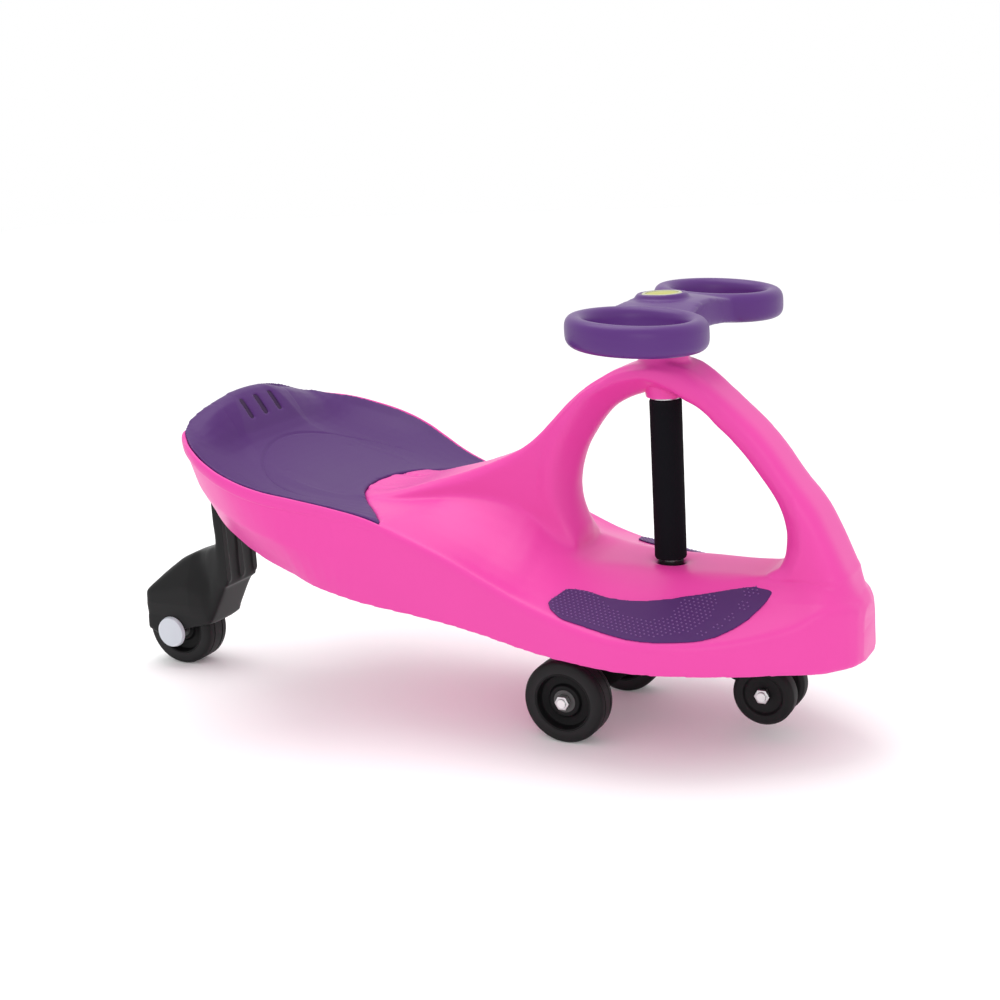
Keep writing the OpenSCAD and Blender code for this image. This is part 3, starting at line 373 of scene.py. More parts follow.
def thin_out(piece, most, keep=None):
    """Thins a piece to the most triangles it may have, but not where it is kept, and shades it smooth."""
    found = triangles(piece)
    if found > most and keep is None:
        press(piece, "DECIMATE", ratio=most / found)
    elif found > most:
        piece.vertex_groups.new(name="thin").add(np.where(~keep)[0].tolist(), 1, "REPLACE")
        press(piece, "DECIMATE", ratio=most / found, vertex_group="thin")
        piece.vertex_groups.clear()
    pick(piece)
    bpy.ops.object.shade_smooth()


# %% [markdown]
# Soft forms that no modifier gives are made by moving points. NumPy holds all points of a piece in one
# array, so a whole surface is moved in one line, and a weight from 0 to 1 says how far each point goes.


# %% Write the helpers that move points
def places(piece):
    """The piece's points as rows of x, y and z."""
    rows = np.empty(len(piece.data.vertices) * 3, np.float32)
    piece.data.vertices.foreach_get("co", rows)
    return rows.reshape(-1, 3)


def normals(piece):
    """The way that the surface faces at each of the piece's points, as rows of x, y and z."""
    rows = np.empty(len(piece.data.vertices) * 3, np.float32)
    piece.data.vertex_normals.foreach_get("vector", rows)
    return rows.reshape(-1, 3)


def put_places(piece, points):
    """Moves the piece's points to new places."""
    piece.data.vertices.foreach_set("co", points.astype(np.float32).ravel())
    piece.data.update()


def ramp(values, start, end):
    """Rises evenly from 0 at the start to 1 at the end, and stays there."""
    return np.clip((values - start) / (end - start), 0, 1)


def soften_near(piece, weight, rounds):
    """Smooths a piece where a weight from 0 to 1 asks for it, and leaves the rest alone."""
    group = piece.vertex_groups.new(name="soft")
    for tenth in range(1, 11):
        group.add(np.where(np.round(weight * 10) == tenth)[0].tolist(), tenth / 10, "REPLACE")
    press(piece, "SMOOTH", factor=0.5, iterations=rounds, vertex_group="soft")
    piece.vertex_groups.clear()


def swell(piece, weight, depth):
    """Moves a piece's surface outward by a depth in mm, times a weight from 0 to 1."""
    put_places(piece, places(piece) + normals(piece) * (weight * depth * MM)[:, None])


# %% [markdown]
# A piece that is done gets its finish and rides on a body. Where it stands for a solid it replaces that
# solid, which is then hidden.


# %% Write the helpers that set a piece on the car
def dress(piece, material, body):
    """Gives a piece its finish and sets it on a body."""
    piece.data.materials.clear()
    piece.data.materials.append(material)
    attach(piece, body)


def mount(piece, material, node):
    """Dresses a piece on its solid's body, and lets it stand for the solid."""
    dress(piece, material, body_of_node[node])
    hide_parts(node)
    print(piece.name, triangles(piece), "triangles on", body_of_node[node])


# %% [markdown]
# ## The hull
# The pink hull is one hollow moulding: tail, tongue, looped arch and nose. The lower rim is thin, and
# smoothing eats some of it away, so the loss is measured in slices round the car and given back.

# %% Write the helpers that keep the rim
SLICES = 300
RIM_MIDDLE, RIM_HALF_LENGTH, RIM_HALF_WIDTH = 0.075, 0.336, 0.172
OUTER_SHARE = 0.62
ABOVE_ALL = 9.0


def rim_slices(points):
    """Each point's place round the car, counted in slices, and the rim's height in every slice."""
    x, y, z = points.T
    ahead_share, side_share = (x - RIM_MIDDLE) / RIM_HALF_LENGTH, y / RIM_HALF_WIDTH
    place = (np.arctan2(side_share, ahead_share) / math.tau + 0.5) * SLICES
    reach = np.hypot(ahead_share, side_share)
    slice_of = place.astype(int) % SLICES
    widest, lowest = np.zeros(SLICES), np.full(SLICES, ABOVE_ALL)
    np.maximum.at(widest, slice_of, reach)
    outer = reach > OUTER_SHARE * widest[slice_of]
    np.minimum.at(lowest, slice_of[outer], z[outer])
    return place, lowest


def evened(ring, spread, neighbours=20):
    """A ring of values, each averaged with its neighbours on both sides."""
    offsets = np.arange(-neighbours, neighbours + 1)
    shares = np.exp(-0.5 * (offsets / spread) ** 2)
    return np.convolve(np.pad(ring, neighbours, mode="wrap"), shares / shares.sum(), "valid")


# %% [markdown]
# The rim's height is read twice, before and after the smoothing. Where the two differ by very much, a slice
# has caught another edge, and it is left alone.

# %% Soften the hull and keep its rim
LARGEST_LOSS = 7 * MM
hull = copy_of("body_shell", "hull")
press(hull, "REMESH", mode="VOXEL", voxel_size=2.0 * MM)
rim_wanted = evened(rim_slices(places(hull))[1], 5)
press(hull, "SMOOTH", factor=0.5, iterations=18)
points = places(hull)
place, rim_found = rim_slices(points)
rim_found = evened(rim_found, 0.8)
around = np.arange(SLICES) + 0.5
height = (points[:, 2] - np.interp(place, around, rim_found, period=SLICES)) / MM
missing = np.interp(place, around, rim_wanted - rim_found, period=SLICES)
missing[np.abs(missing) > LARGEST_LOSS] = 0
points[:, 2] += missing * (1 - ramp(height, 1, 18))
put_places(hull, points)
print("rim given back, mm", round(float(np.abs(rim_wanted - rim_found).mean()) / MM, 2))

# %% [markdown]
# The arch has a large soft roll all round its opening, far larger than the other edges. The opening's
# outline is listed as it looks from the side, and the hull is smoothed more where it lies near that line.
# The strip in front of the opening, the nose and the deck below the opening are smoothed as well.

# %% Roll the edge of the opening
OPENING = [(135, 180), (125, 197), (119, 216), (117.5, 235), (120, 250), (129, 270), (140, 286), (162, 308),
           (189, 322), (221, 328), (251, 323), (266, 315), (284, 299), (302, 280), (320, 255), (334, 233),
           (341, 212), (341, 196), (334, 181)]


def gap_to_line(x, z, line):
    """Distance in mm of each point (x, z) from a line through listed points."""
    nearest = np.full(len(x), 1e3)
    for (ax, az), (bx, bz) in zip(line, line[1:]):
        run, rise = bx - ax, bz - az
        along = np.clip(((x - ax) * run + (z - az) * rise) / (run ** 2 + rise ** 2), 0, 1)
        nearest = np.minimum(nearest, np.hypot(x - ax - along * run, z - az - along * rise))
    return nearest


x, y, z = places(hull).T / MM
near_opening = 1 - ramp(gap_to_line(x, z, OPENING), 12, 22)
soften_near(hull, near_opening * ramp(z, 172, 192) * (1 - ramp(np.abs(y), 40, 55)), 60)
on_nose = ramp(x, 350, 364) * ramp(z, 142, 152)
soften_near(hull, ramp(x, 240, 270) * np.maximum(ramp(z, 166, 184), on_nose), 60)
on_deck = ramp(x, 122, 140) * (1 - ramp(x, 285, 312)) * ramp(z, 140, 150) * (1 - ramp(z, 172, 182))
soften_near(hull, on_deck * (1 - ramp(np.abs(y), 48, 62)), 80)
print("points rolled at the opening", int((near_opening > 0).sum()))
print("points rolled on the deck", int((on_deck > 0).sum()))

# %% [markdown]
# On the real arch the opening is wider at both faces than in the middle, so that a broad sloping wall
# shows at the top and at the back. Points near the opening are pushed away from its centre, more so
# towards the faces. How far is listed by direction in degrees: the front is 0, the top 90, the back 180.
# The strip and the nose then swell a little, as a full moulding does, and the arch's back is let in.

# %% Widen the opening towards its faces
OPENING_X, OPENING_Z = 228, 245
DIRECTION = [-180, -150, -110, -60, -20, 20, 50, 75, 100, 130, 155, 180]
IN_THE_MIDDLE = [-10, -8, 0, 0, -4, -5, -6, -5, 1, -1, -6, -10]
AT_THE_FACES = [14, 8, 0, 0, 0, 0, 0.5, 4, 13, 16, 15, 14]
points = places(hull)
x, y, z = points.T / MM
away_x, away_z = x - OPENING_X, z - OPENING_Z
reach = np.hypot(away_x, away_z)
direction = np.degrees(np.arctan2(away_z, away_x))
gap = gap_to_line(x, z, OPENING)
near = (1 - ramp(gap, 2, 28)) * ramp(z, 172, 192) * (1 - ramp(np.abs(y), 45, 60))
to_face = ramp(np.abs(y), 3, 31)
eased = to_face * to_face * (3 - 2 * to_face)
push = near * (np.interp(direction, DIRECTION, IN_THE_MIDDLE)
               + np.interp(direction, DIRECTION, AT_THE_FACES) * eased)
points[:, 0] += push * away_x / reach * MM
points[:, 2] += push * away_z / reach * MM
put_places(hull, points)
soften_near(hull, near, 15)
on_strip = ramp(x, 230, 380) * ramp(z, 148, 165) * ramp(gap, 8, 18)
on_back_of_arch = ramp(x, 30, 80) * (1 - ramp(x, 165, 195)) * ramp(z, 215, 245) * ramp(gap, 10, 20)
on_nose = ramp(x, 350, 385) * (1 - ramp(z, 150, 170))
for weight, depth in ((on_strip, 6.0), (on_back_of_arch, -2.5), (on_nose, 2.0)):
    swell(hull, weight, depth)
points = places(hull)
points[:, 0] = np.minimum(points[:, 0], solid_box[1][0] - 0.1 * MM)
put_places(hull, points)
print("widest push, mm", round(float(push.max()), 1))

# %% [markdown]
# ## The seat
# The purple seat is a thin dished shell that lies in the hull. At the tail the two end in one lip, which
# rises in an even arc. The arc's heights are listed by the distance from the middle, in mm. Strips across
# the car measure how far the lip is from the arc, and the tail is moved by what is missing.

# %% Write the helpers that shape the lip
LIP = [(0, 318.5), (12, 318.3), (25, 317.4), (40, 315.6), (55, 313.0), (70, 309.2), (85, 304.2),
       (100, 298.4), (112, 293.5)]
STRIP = 3.0
STRIPS = np.arange(-117, 118, STRIP)
TAIL_FROM = -235
LARGEST_SHIFT = 9


def lip_arc(y):
    """The height of the lip's arc at a distance from the middle."""
    arc_y, arc_z = np.array(LIP, float).T
    return np.interp(np.abs(y), arc_y, arc_z)


def lip_tops(piece):
    """The height of the tail's top in strips across the car, from its right side to its left."""
    x, y, z = places(piece).T / MM
    strip = np.clip(np.round((y - STRIPS[0]) / STRIP).astype(int), 0, len(STRIPS) - 1)
    tops = np.zeros(len(STRIPS))
    np.maximum.at(tops, strip[x < TAIL_FROM], z[x < TAIL_FROM])
    return np.convolve(np.pad(tops, 2, mode="edge"), np.array([1, 2, 3, 2, 1]) / 9, "valid")


def shape_lip(piece, tops):
    """Moves the tail so that tops as they were found come to lie on the listed arc."""
    points = places(piece)
    x, y, z = points.T / MM
    missing = np.interp(y, STRIPS, lip_arc(STRIPS) - tops)
    depth = np.interp(y, STRIPS, tops) - z
    weight = ramp(-x, 205, 245) * (1 - ramp(depth, 8, 45)) * (1 - ramp(np.abs(y), 98, 116))
    points[:, 2] += np.clip(missing, -LARGEST_SHIFT, LARGEST_SHIFT) * weight * MM
    put_places(piece, points)
    print(piece.name, "lip moved by up to, mm", round(float(np.abs(missing * weight).max()), 1))


# %% [markdown]
# The seat is remeshed more finely than the hull, so that the three vent slots in its back keep their
# shape, and the slots are spread a little. Seat and hull meet at the lip, so both are moved by what the
# seat alone needs to reach the arc.

# %% Soften the seat
SLOTS_WITHIN = 0.060
SLOT_SPREAD = 7.2 * MM
seat = copy_of("seat", "seat_shell")
mould(seat, voxel=1.5, rounds=9)
points = places(seat)
x, y, z = points.T
on_wall = np.clip((-0.205 - x) / 0.02, 0, 1) * np.clip((SLOTS_WITHIN - np.abs(y)) / 0.004, 0, 1)
points[:, 1] += on_wall * np.sign(y) * SLOT_SPREAD * np.sin(np.pi * np.abs(y) / SLOTS_WITHIN)
put_places(seat, points)
tops = lip_tops(seat)
shape_lip(seat, tops)
shape_lip(hull, tops)

# %% [markdown]
# At the back hull and seat lie in one plane. Two faces in one plane flicker, so the hull stands a
# millimetre proud below an even seam and is let in by as much above it. Then the hull is thinned, but
# not along its rim and its seam, where fewer triangles would show.

# %% Even the seam at the back
SEAM_BELOW_LIP = 12
points = places(hull)
x, y, z = points.T / MM
below_seam = lip_arc(y) - SEAM_BELOW_LIP - z
on_back = ramp(-x, 257, 260) * (1 - ramp(np.abs(y), 88, 104))
points[:, 0] -= on_back * np.clip(below_seam / 4, -1, 1) * MM
put_places(hull, points)
place, rim_found = rim_slices(points)
above_rim = points[:, 2] - np.interp(place, around, rim_found, period=SLICES)
along_seam = (on_back > 0) & (np.abs(below_seam) < 9)
thin_out(hull, most=195000, keep=(above_rim < 8 * MM) | along_seam)
mount(hull, hull_pink, "body_shell")

# %% [markdown]
# The seat drops into the hull, so its edge stays a few millimetres inside the hull's edge. That edge is
# listed once, seen from above and from the side, and serves the seat here and the pink rim further on.

# %% Draw the seat's edge in
EDGE = [(-258, 99, 296), (-253, 115, 295.5), (-241, 131, 291), (-221, 149, 285), (-194, 164, 275),
        (-164, 171.5, 264), (-134, 168, 253), (-104, 154, 243), (-69, 137, 231), (-39, 128, 221),
        (-12, 125.5, 210), (6, 124, 202)]
DRAWN_IN = 4.0 * MM
edge_x, edge_y = np.array(EDGE, float).T[:2]
points = places(seat)
x, y = points[:, 0] / MM, points[:, 1] / MM
near_edge = ramp(np.abs(y) - np.interp(x, edge_x, edge_y), -16, 0) * ramp(x, -258, -240)
points[:, 1] -= np.sign(y) * DRAWN_IN * near_edge
put_places(seat, points)
print("seat drawn in, points", int((near_edge > 0).sum()))

# %% [markdown]
# A thin oval groove runs round the place where the rider sits, and fades out towards the front. The
# points of the seat within its width are let down by about a millimetre, which is what a cutter would
# take away. Steep faces and the tail are kept when the seat is thinned.

# %% Cut the oval groove
OVAL_X, OVAL_HALF_LENGTH, OVAL_HALF_WIDTH = -0.132, 0.080, 0.104
GROOVE_DEPTH, GROOVE_HALF_WIDTH = 1.2 * MM, 2.0 * MM
TINY = 1e-6
points = places(seat)
u, v = (points[:, 0] - OVAL_X) / OVAL_HALF_LENGTH, points[:, 1] / OVAL_HALF_WIDTH
reach = np.hypot(u, v)
slope = np.hypot(u / OVAL_HALF_LENGTH, v / OVAL_HALF_WIDTH) / np.maximum(reach, TINY)
off = np.abs(reach - 1) / np.maximum(slope, TINY)
open_front = np.clip((-0.112 - points[:, 0]) / 0.03, 0, 1)
points[:, 2] -= GROOVE_DEPTH * open_front * np.clip(1 - off / GROOVE_HALF_WIDTH, 0, 1)
put_places(seat, points)
steep = np.abs(normals(seat)[:, 2]) < 0.8
thin_out(seat, most=190000, keep=steep | (points[:, 0] < -0.225))
mount(seat, seat_purple, "seat")

# %% [markdown]
# A thin dark plate closes each of the three slots from behind, and its very dark purple is painted
# shade for the shade inside the slots. Rays find the seat's wall beside a slot, and the small plate
# with rounded edges is set into the thickness of the wall there.

# %% Close the slots from behind with plates of painted shade
SLOT_PITCH, SLOT_HEIGHT, BESIDE_SLOT = 0.0255, 0.301, 0.008
PLATE_WIDTH, PLATE_LENGTH, PLATE_THICK, PLATE_SUNK = 9 * MM, 29 * MM, 0.9 * MM, 2.3 * MM


def wall_point(y):
    """Where a ray from the front meets the seat's back wall, and the wall's slope there."""
    return seat.ray_cast(Vector((0, y, SLOT_HEIGHT)), Vector((-1, 0, 0)))[1:3]


for label, y in (("right", -SLOT_PITCH), ("middle", 0.0), ("left", SLOT_PITCH)):
    (at_a, normal_a), (at_b, normal_b) = wall_point(y - BESIDE_SLOT), wall_point(y + BESIDE_SLOT)
    normal = (normal_a + normal_b).normalized()
    at = (at_a + at_b) / 2 - normal * PLATE_SUNK
    upward_wall = (Vector((0, 0, 1)) - normal * normal.z).normalized()
    turn = Matrix((normal.cross(upward_wall) * -1, upward_wall, normal)).transposed()
    bpy.ops.object.select_all(action="DESELECT")
    bpy.ops.mesh.primitive_cube_add(size=1)
    plate = bpy.context.object
    plate.name = plate.data.name = "slot_shade_plate_" + label
    plate.data.transform(Matrix.Diagonal((PLATE_WIDTH, PLATE_LENGTH, PLATE_THICK, 1)))
    plate.data.transform(Matrix.Translation(at) @ turn.to_4x4())
    press(plate, "BEVEL", width=0.3 * MM, segments=2)
    # The plate takes the finish of painted shade.
    dress(plate, slot_painted_shade, "frame")
    print(plate.name, [round(c, 4) for c in at])

# %% [markdown]
# ## The pink rim
# Between the seat and the outside a thin rim of the hull shows as a pale line. It is drawn as a curve along
# the edge with a tall oval section, flush with the hull's side, and sinks into the hull at both ends.

# %% Draw the rim
RIM_THICK, RIM_TALL = 2.8 * MM, 6.0 * MM
INSET, SUNK = 3.0, 7.5
END_INSET, END_SUNK = 9.0, 12.0
bpy.ops.object.select_all(action="DESELECT")
bpy.ops.curve.primitive_bezier_circle_add(radius=1)
oval = bpy.context.object
oval.name = "rim_section"
oval.scale = (RIM_THICK, RIM_TALL, 1)
bpy.ops.object.transform_apply(scale=True)


def rim_line(side, sign):
    """The rim of one side, as a mesh."""
    line = bpy.data.curves.new("hull_rim_" + side, "CURVE")
    line.dimensions = "3D"
    line.twist_mode = "Z_UP"
    line.bevel_mode = "OBJECT"
    line.bevel_object = oval
    line.resolution_u = 10
    line.use_fill_caps = True
    run = line.splines.new("BEZIER")
    run.bezier_points.add(len(EDGE) - 1)
    for k, (point, (x, y, z)) in enumerate(zip(run.bezier_points, EDGE)):
        at_end = k in (0, len(EDGE) - 1)
        inset, sunk = (END_INSET, END_SUNK) if at_end else (INSET, SUNK)
        point.co = (x * MM, sign * (y - inset) * MM, (z - sunk) * MM)
        point.handle_left_type = point.handle_right_type = "AUTO"
    pick(new_piece("hull_rim_" + side, line))
    bpy.ops.object.convert(target="MESH")
    rim = bpy.context.object
    merge(rim, 0.01, turn_out=True)
    bpy.ops.object.shade_smooth()
    dress(rim, hull_pink, "frame")
    print(rim.name, triangles(rim), "triangles")


rim_line("right", -1)
rim_line("left", 1)
bpy.data.objects.remove(oval)

# %% [markdown]
# ## The foot pads
# Each pad is a thin plate with the print of a foot: small raised dots on heel, outer edge and ball,
# a smooth crescent under the arch, and five dotted toes. One dome of few faces is modelled here, as a
# sphere that is cut below its middle and flattened, and copied later to every place.

# %% Model one dome
DOT = 0.85 * MM
bpy.ops.object.select_all(action="DESELECT")
bpy.ops.mesh.primitive_uv_sphere_add(segments=8, ring_count=6, radius=DOT)
dome = bpy.context.object
dome.name = "dome_pattern"
bpy.ops.object.mode_set(mode="EDIT")
bpy.ops.mesh.select_all(action="SELECT")
bpy.ops.mesh.bisect(plane_co=(0, 0, -0.2 * DOT), plane_no=(0, 0, 1), clear_inner=True)
bpy.ops.mesh.select_all(action="SELECT")
bpy.ops.transform.resize(value=(1, 1, 0.8))
bpy.ops.object.mode_set(mode="OBJECT")
print("dome", triangles(dome), "triangles")

# %% [markdown]
# The outlines of the print are listed as they look from above, in mm. Rows of dots, each set off by half
# a step from the last, cover the pad, and only the dots that lie in the print are kept.

# %% Say where the dots go
SOLE = [(144, 119), (143, 103), (150, 90), (160, 84), (176, 84), (186, 88), (260, 70), (280, 58), (288, 57),
        (292, 66), (290, 84), (283, 98), (273, 109), (262, 115), (250, 121), (228, 128), (190, 128),
        (156, 126)]
CRESCENT = [(178, 70), (250, 60), (257, 78), (254, 94), (240, 102), (218, 104), (199, 98), (184, 88)]
TOES = [(316, 47, 9.5, 6.0), (313, 64, 6.5, 5.0), (307, 79, 6.0, 4.6), (299, 92, 5.6, 4.4),
        (289, 103, 5.2, 4.0)]
TOE_COS, TOE_SIN = 0.75, 0.66
PITCH_OF_DOTS, ROW_SHARE = 4.4, 0.87
DOT_ROWS, DOT_COLUMNS = 24, 48
FIRST_DOT_X, FIRST_DOT_Y = 142, 40


def inside(x, y, outline):
    """True where a point lies inside a closed outline."""
    found = False
    for (ax, ay), (bx, by) in zip(outline, outline[1:] + outline[:1]):
        if (ay > y) != (by > y) and x < (bx - ax) * (y - ay) / (by - ay) + ax:
            found = not found
    return found


def in_toe(x, y):
    """True where a point lies in one of the five toe ovals, which lean with the foot."""
    for cx, cy, long_r, short_r in TOES:
        dx, dy = x - cx, y - cy
        u, v = TOE_COS * dx - TOE_SIN * dy, TOE_SIN * dx + TOE_COS * dy
        if (u / long_r) ** 2 + (v / short_r) ** 2 < 1:
            return True
    return False


dot_places = []
for row in range(DOT_ROWS):
    for column in range(DOT_COLUMNS):
        x = FIRST_DOT_X + (column + 0.5 * (row % 2)) * PITCH_OF_DOTS
        y = FIRST_DOT_Y + row * PITCH_OF_DOTS * ROW_SHARE
        if in_toe(x, y) or (inside(x, y, SOLE) and not inside(x, y, CRESCENT)):
            dot_places.append((x, y))
print("dots on a pad", len(dot_places))

# %% [markdown]
# The pad is trimmed to its outline by a block that is drawn round it, and then softened. A ray from above
# finds the pad's top and its slope at every dot.

# %% Press the pads and set the dots
PAD = [(176, 133), (160, 128), (150, 122), (144.5, 114), (142.5, 105), (144, 96), (150, 89), (159, 84.5),
       (170, 82.5), (190, 85), (207, 84), (228, 79), (249, 71), (268, 60), (294, 44), (313, 34), (325, 32),
       (333, 36), (335, 43), (331, 56), (322, 75), (310, 93), (298, 107), (281, 116), (254, 126), (227, 133),
       (205, 136)]
CUTTER_LOW, CUTTER_HIGH = 90, 220
LEAST_UPWARD = 0.6


def outline_block(outline, low, high):
    """An upright block over a closed outline, from one height to another, all in mm."""
    block = new_piece("pad_cutter")
    shape = bmesh.new()
    sole = shape.faces.new([shape.verts.new((x * MM, y * MM, low * MM)) for x, y in outline])
    grown = bmesh.ops.extrude_face_region(shape, geom=[sole])["geom"]
    bmesh.ops.translate(shape, vec=(0, 0, (high - low) * MM),
                        verts=[v for v in grown if isinstance(v, bmesh.types.BMVert)])
    bmesh.ops.recalc_face_normals(shape, faces=shape.faces)
    shape.to_mesh(block.data)
    shape.free()
    return block


def foot_pad(side, sign):
    """One pad, softened, with its dots set on its top."""
    node = "foot_pad_" + side
    pad = copy_of(node, "pad_" + side)
    cutter = outline_block([(x, sign * y) for x, y in PAD], CUTTER_LOW, CUTTER_HIGH)
    press(pad, "BOOLEAN", operation="INTERSECT", object=cutter, solver="EXACT")
    bpy.data.objects.remove(cutter)
    mould(pad, voxel=0.7, rounds=10)
    thin_out(pad, most=40000)
    shape = bmesh.new()
    for x, y in dot_places:
        hit, at, normal = pad.ray_cast(Vector((x * MM, sign * y * MM, 1)), Vector((0, 0, -1)))[:3]
        if not hit or normal.z < LEAST_UPWARD:
            continue
        first = len(shape.verts)
        shape.from_mesh(dome.data)
        shape.verts.ensure_lookup_table()
        turn = Vector((0, 0, 1)).rotation_difference(normal).to_matrix()
        for point in shape.verts[first:]:
            point.co = turn @ point.co + at
    dots = new_piece("pad_dots_" + side)
    shape.to_mesh(dots.data)
    shape.free()
    pick(dots)
    bpy.ops.object.shade_smooth()
    mount(pad, pad_purple, node)
    dress(dots, dot_purple, body_of_node[node])
    print(dots.name, triangles(dots), "triangles")


foot_pad("right", -1)
foot_pad("left", 1)
bpy.data.objects.remove(dome)

# %% [markdown]
# ## The steering wheel and its badge
# The wheel is two hand loops that grow out of a hub. It is softened as the hull is, but for longer, so
# that the loops become round. The loops dip a little towards the front, and the hub stays level.

# %% Soften the steering wheel
COLUMN_X = 221
LOOP_LIFT, LOOP_DIP = 1.5, 0.075
wheel = copy_of("steering_wheel", "hand_wheel")
mould(wheel, voxel=1.3, rounds=34)
points = places(wheel)
x, y, z = points.T / MM
points[:, 2] += (LOOP_LIFT - LOOP_DIP * (x - COLUMN_X)) * ramp(np.abs(y), 18, 48) * MM
put_places(wheel, points)
thin_out(wheel, most=120000)
mount(wheel, rim_purple, "steering_wheel")

# %% [markdown]
# Round pieces are turned as on a lathe: half a section is drawn as a line of points and spun about its
# axis. The ends of the spin meet, so doubles are merged before the faces are turned outward.


# %% Write the helper that spins a section
def spin_section(name, section, centre, axis, steps=72):
    """A round piece: a section of (radius, height) points in mm, spun about an axis through a centre."""
    piece = new_piece(name)
    shape = bmesh.new()
    axis, centre = Vector(axis).normalized(), Vector(centre)
    side = Vector((1, 0, 0)) if abs(axis.x) < 0.5 else Vector((0, 1, 0))
    ring = [shape.verts.new(centre + (side * r + axis * h) * MM) for r, h in section]
    for a, b in zip(ring, ring[1:]):
        shape.edges.new((a, b))
    shape.to_mesh(piece.data)
    shape.free()
    pick(piece)
    bpy.ops.object.mode_set(mode="EDIT")
    bpy.ops.mesh.select_all(action="SELECT")
    bpy.ops.mesh.spin(steps=steps, angle=math.tau, center=centre, axis=axis)
    bpy.ops.object.mode_set(mode="OBJECT")
    merge(piece, 0.01, turn_out=True)
    bpy.ops.object.shade_smooth_by_angle(angle=math.radians(40))
    return piece


# %% [markdown]
# The badge on top of the hub is a shallow green dome inside a pale ring. Both sections are listed by
# radius and by depth below the top of the badge's solid.

# %% Spin the badge
DOME = [(0, 0.2), (5, 0.3), (10, 0.6), (14, 1.1), (15.6, 1.6), (15.6, 2.6), (0, 2.6)]
RING = [(15.6, 2.8), (15.6, 0.9), (16.0, 0.5), (17.8, 0.5), (18.6, 1.2), (18.6, 2.8), (15.6, 2.8)]
UPRIGHT = (0, 0, 1)
low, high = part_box("badge")
top = high.z / MM
badge_axis = ((low.x + high.x) / 2, (low.y + high.y) / 2, 0)
badge = spin_section("badge_dome", [(r, top - depth) for r, depth in DOME], badge_axis, UPRIGHT)
mount(badge, badge_green, "badge")
badge_ring = spin_section("badge_ring", [(r, top - depth) for r, depth in RING], badge_axis, UPRIGHT)
dress(badge_ring, badge_rim, "steering")
print("badge top at", round(top, 1), "mm")

# %% [markdown]
# ## The foam grip
# A sleeve of black foam covers the steel column. Foam is soft, so the solid never shows: a sleeve with
# rounded ends and a slightly uneven wall stands for it.

# %% Spin the grip
GRIP_BORE, BANDS = 8.05, 24
WAVE, WALL_INSET = 0.05, 0.06
low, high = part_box("column_grip")
grip_axis = ((low.x + high.x) / 2, 0, 0)
grip_r, grip_low, grip_high = (high.x - low.x) / 2 / MM, low.z / MM, high.z / MM
wall = [(GRIP_BORE, grip_low), (grip_r - 2.2, grip_low), (grip_r - 0.8, grip_low + 0.5),
        (grip_r, grip_low + 2.2)]
for k in range(1, BANDS):
    uneven = WAVE * math.cos(k * 1.9) - WALL_INSET
    wall.append((grip_r + uneven, grip_low + (grip_high - grip_low) * k / BANDS))
wall += [(grip_r, grip_high - 2.2), (grip_r - 0.8, grip_high - 0.5), (grip_r - 2.2, grip_high),
         (GRIP_BORE, grip_high)]
grip = spin_section("foam_grip", wall + [wall[0]], grip_axis, UPRIGHT)
mount(grip, grip_black, "column_grip")

# %% [markdown]
# Above the grip the arch comes down round the column as a short pink neck. It hides the flange of the
# upper bush, and leaves a hair's breadth above the bright ring, which turns with the column.

# %% Spin the neck
RING_GAP = 0.3
NECK = [(8.7, 0), (16.6, 0), (17.8, 0.6), (18.3, 2), (18.8, 7), (19.8, 13), (22.0, 19), (26.0, 24), (8.7, 24),
        (8.7, 0)]
neck_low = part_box("column_ring")[1].z / MM + RING_GAP
neck = spin_section("arch_neck", [(r, neck_low + rise) for r, rise in NECK], grip_axis, UPRIGHT)
dress(neck, hull_pink, "frame")
print("neck from", round(neck_low, 1), "mm")

# %% [markdown]
# ## The rear bracket
# A satin black hood covers the rear wheel and hangs on a ribbed stem. Two blocks fill out its front wall
# and its shoulder, and are joined to the copy before it is remeshed, so that all becomes one moulding.


# %% Fill out the bracket
def swept_block(name, corners):
    """The smallest block round listed corners (x, half-width, z) in mm, the same on both sides."""
    block = new_piece(name)
    shape = bmesh.new()
    for x, half, z in corners:
        for sign in (-1, 1):
            shape.verts.new((x * MM, sign * half * MM, z * MM))
    bmesh.ops.convex_hull(shape, input=shape.verts)
    bmesh.ops.recalc_face_normals(shape, faces=shape.faces)
    shape.to_mesh(block.data)
    shape.free()
    return block


FRONT_WALL = [(-320, 27, 58), (-314, 27, 58), (-299, 27, 88), (-289, 27, 104), (-289, 27, 128),
              (-300, 27, 128), (-320, 20, 97)]
SHOULDER = [(-297, 27, 148), (-306, 25, 143), (-332, 13, 134), (-332, 20, 105), (-297, 27, 105)]
bracket = copy_of("rear_bracket", "rear_hood")
for name, corners in (("front_wall", FRONT_WALL), ("shoulder", SHOULDER)):
    block = swept_block(name, corners)
    pick(bracket)
    block.select_set(True)
    bpy.ops.object.join()
mould(bracket, voxel=1.4, rounds=7)
print("bracket", triangles(bracket), "triangles before it is thinned")

# %% [markdown]
# The crown, the wall and the shoulder are softened further, and the hood swells over the wheel. Last, the
# flange is kept to its width and the stem to its front face.

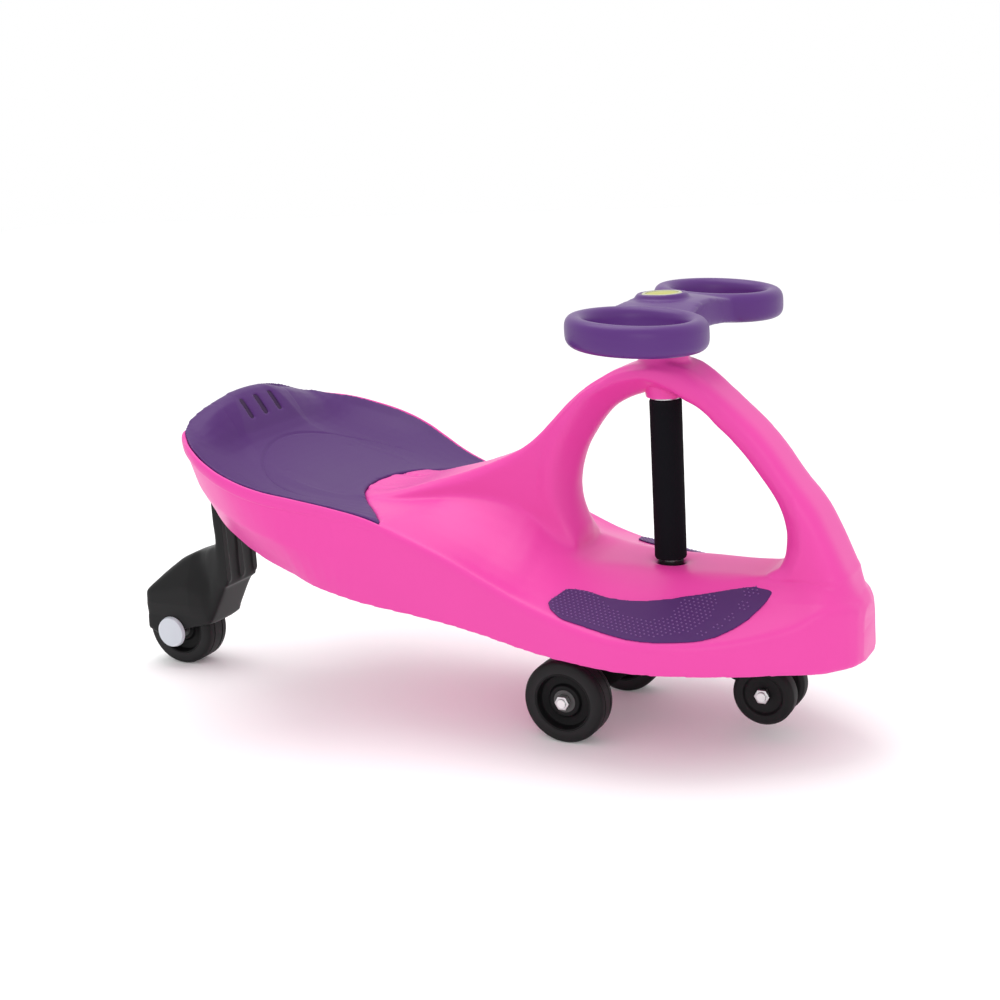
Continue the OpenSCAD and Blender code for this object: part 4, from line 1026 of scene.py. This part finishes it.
# %% Soften the bracket
FLANGE_HALF_WIDTH, STEM_FRONT = 0.0285, -0.2855
x, y, z = places(bracket).T / MM
on_crown = ramp(z, 58, 80) * ramp(-x, 287, 299)
on_wall = ramp(z, 50, 64) * (1 - ramp(z, 128, 142)) * (1 - ramp(-x, 318, 330))
on_shoulder = ramp(z, 104, 118) * (1 - ramp(z, 158, 172)) * ramp(-x, 293, 300) * (1 - ramp(-x, 326, 340))
for weight, rounds in ((on_crown, 30), (on_wall, 30), (on_shoulder, 50)):
    soften_near(bracket, weight, rounds)
swell(bracket, ramp(-x, 318, 340) * ramp(z, 60, 75), 2.0)
points = places(bracket)
x, y, z = points.T / MM
on_flange = (z > 195) & (x < -262)
points[on_flange, 1] = np.clip(points[on_flange, 1], -FLANGE_HALF_WIDTH, FLANGE_HALF_WIDTH)
on_stem = (z < 192) & (x > -300)
points[on_stem, 0] = np.minimum(points[on_stem, 0], STEM_FRONT)
put_places(bracket, points)
thin_out(bracket, most=90000)
mount(bracket, hood_black, "rear_bracket")

# %% [markdown]
# ## Turned and pressed parts
# Carriage, ring, caps, hubs, nuts and small wheels keep the shape of their solids and only need small
# bevels that catch the light. The bevel is limited by angle, so round walls stay round.

# %% Bevel the copies
BEVEL_FROM, SMOOTH_TO = math.radians(35), math.radians(32)


def bevelled(node, name, material, width, segments=2):
    """A copy of a solid with small rounded edges."""
    piece = copy_of(node, name)
    press(piece, "BEVEL", width=width * MM, segments=segments, limit_method="ANGLE",
          angle_limit=BEVEL_FROM, use_clamp_overlap=True, harden_normals=False)
    pick(piece)
    bpy.ops.object.shade_smooth_by_angle(angle=SMOOTH_TO)
    mount(piece, material, node)


bevelled("carriage", "steer_carriage", hood_black, 0.8)
bevelled("column_ring", "grip_ring", steel_bright, 0.3)
for side in ("right", "left"):
    bevelled("rear_cap_" + side, "hood_cap_" + side, cap_grey, 0.9, 3)
    bevelled("main_hub_" + side, "main_core_" + side, core_black, 0.6)
    bevelled("main_nut_" + side, "main_dome_nut_" + side, steel_bright, 0.5)
    bevelled("small_nut_" + side, "small_dome_nut_" + side, steel_bright, 0.5)
    bevelled("small_wheel_" + side, "small_roller_" + side, tyre_black, 1.2, 3)
bevelled("rear_hub", "rear_core", core_black, 0.6)

# %% [markdown]
# ## The tyres
# The tyres are wide bands with rounded shoulders and two fine grooves in the tread. The section, listed
# from the tread inward and from the face inward, is spun about the axle.

# %% Spin the tyres
TYRE_SHOULDER = [(4.2, 0), (2.4, 0.5), (1.0, 1.6), (0.2, 3.4)]
GROOVE = [(0, -0.9), (0.9, -0.5), (0.9, 0.5), (0, 0.9)]
GROOVE_SHARE = 0.42
TYRE_STEPS = 96


def tyre(node, name):
    """A tyre spun about its axle, inside its solid's box and round its solid's bore."""
    low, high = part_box(node)
    centre = (low + high) / 2
    r, half = (high.z - low.z) / 2 / MM, (high.y - low.y) / 2 / MM
    x, y, z = places(frame["nodes"][node]).T
    bore = float(np.hypot(x - centre.x, z - centre.z).min()) / MM
    section = [(bore, -half)] + [(r - down, -half + along) for down, along in TYRE_SHOULDER]
    for middle in (-half * GROOVE_SHARE, half * GROOVE_SHARE):
        section += [(r - down, middle + along) for down, along in GROOVE]
    section += [(r - down, half - along) for down, along in reversed(TYRE_SHOULDER)] + [(bore, half)]
    piece = spin_section(name, section + [section[0]], centre, (0, 1, 0), TYRE_STEPS)
    mount(piece, tyre_black, node)


for side in ("right", "left"):
    tyre("main_tyre_" + side, "main_band_" + side)
tyre("rear_tyre", "rear_band")

# %% [markdown]
# ## What stays as it is
# Axles, bushes, bearings, spacers and bolts are small or hidden, and their solids are right as they are.
# Bushes and spacers get the dark plastic, bearings a dull grey and the rest bright steel.

# %% Paint the solids that stay
FINISH_BY_WORD = {"bush": hood_black, "spacer": hood_black, "bearing": bearing_grey}
left_alone = [node for node, solid in frame["nodes"].items() if not solid.hide_render]
for node in left_alone:
    fitting = [material for word, material in FINISH_BY_WORD.items() if word in node]
    painted = frame["nodes"][node].data.materials
    painted.clear()
    painted.append(fitting[0] if fitting else steel_bright)
print("solids that stay", len(left_alone), left_alone)

# %% [markdown]
# ## The last measure
# The box of the solids is printed. The dressed car has to stay inside the box of its solids.

# %% Write the box of the solids and finish
print("solids ", [round(x, 4) for p in solid_box for x in p])
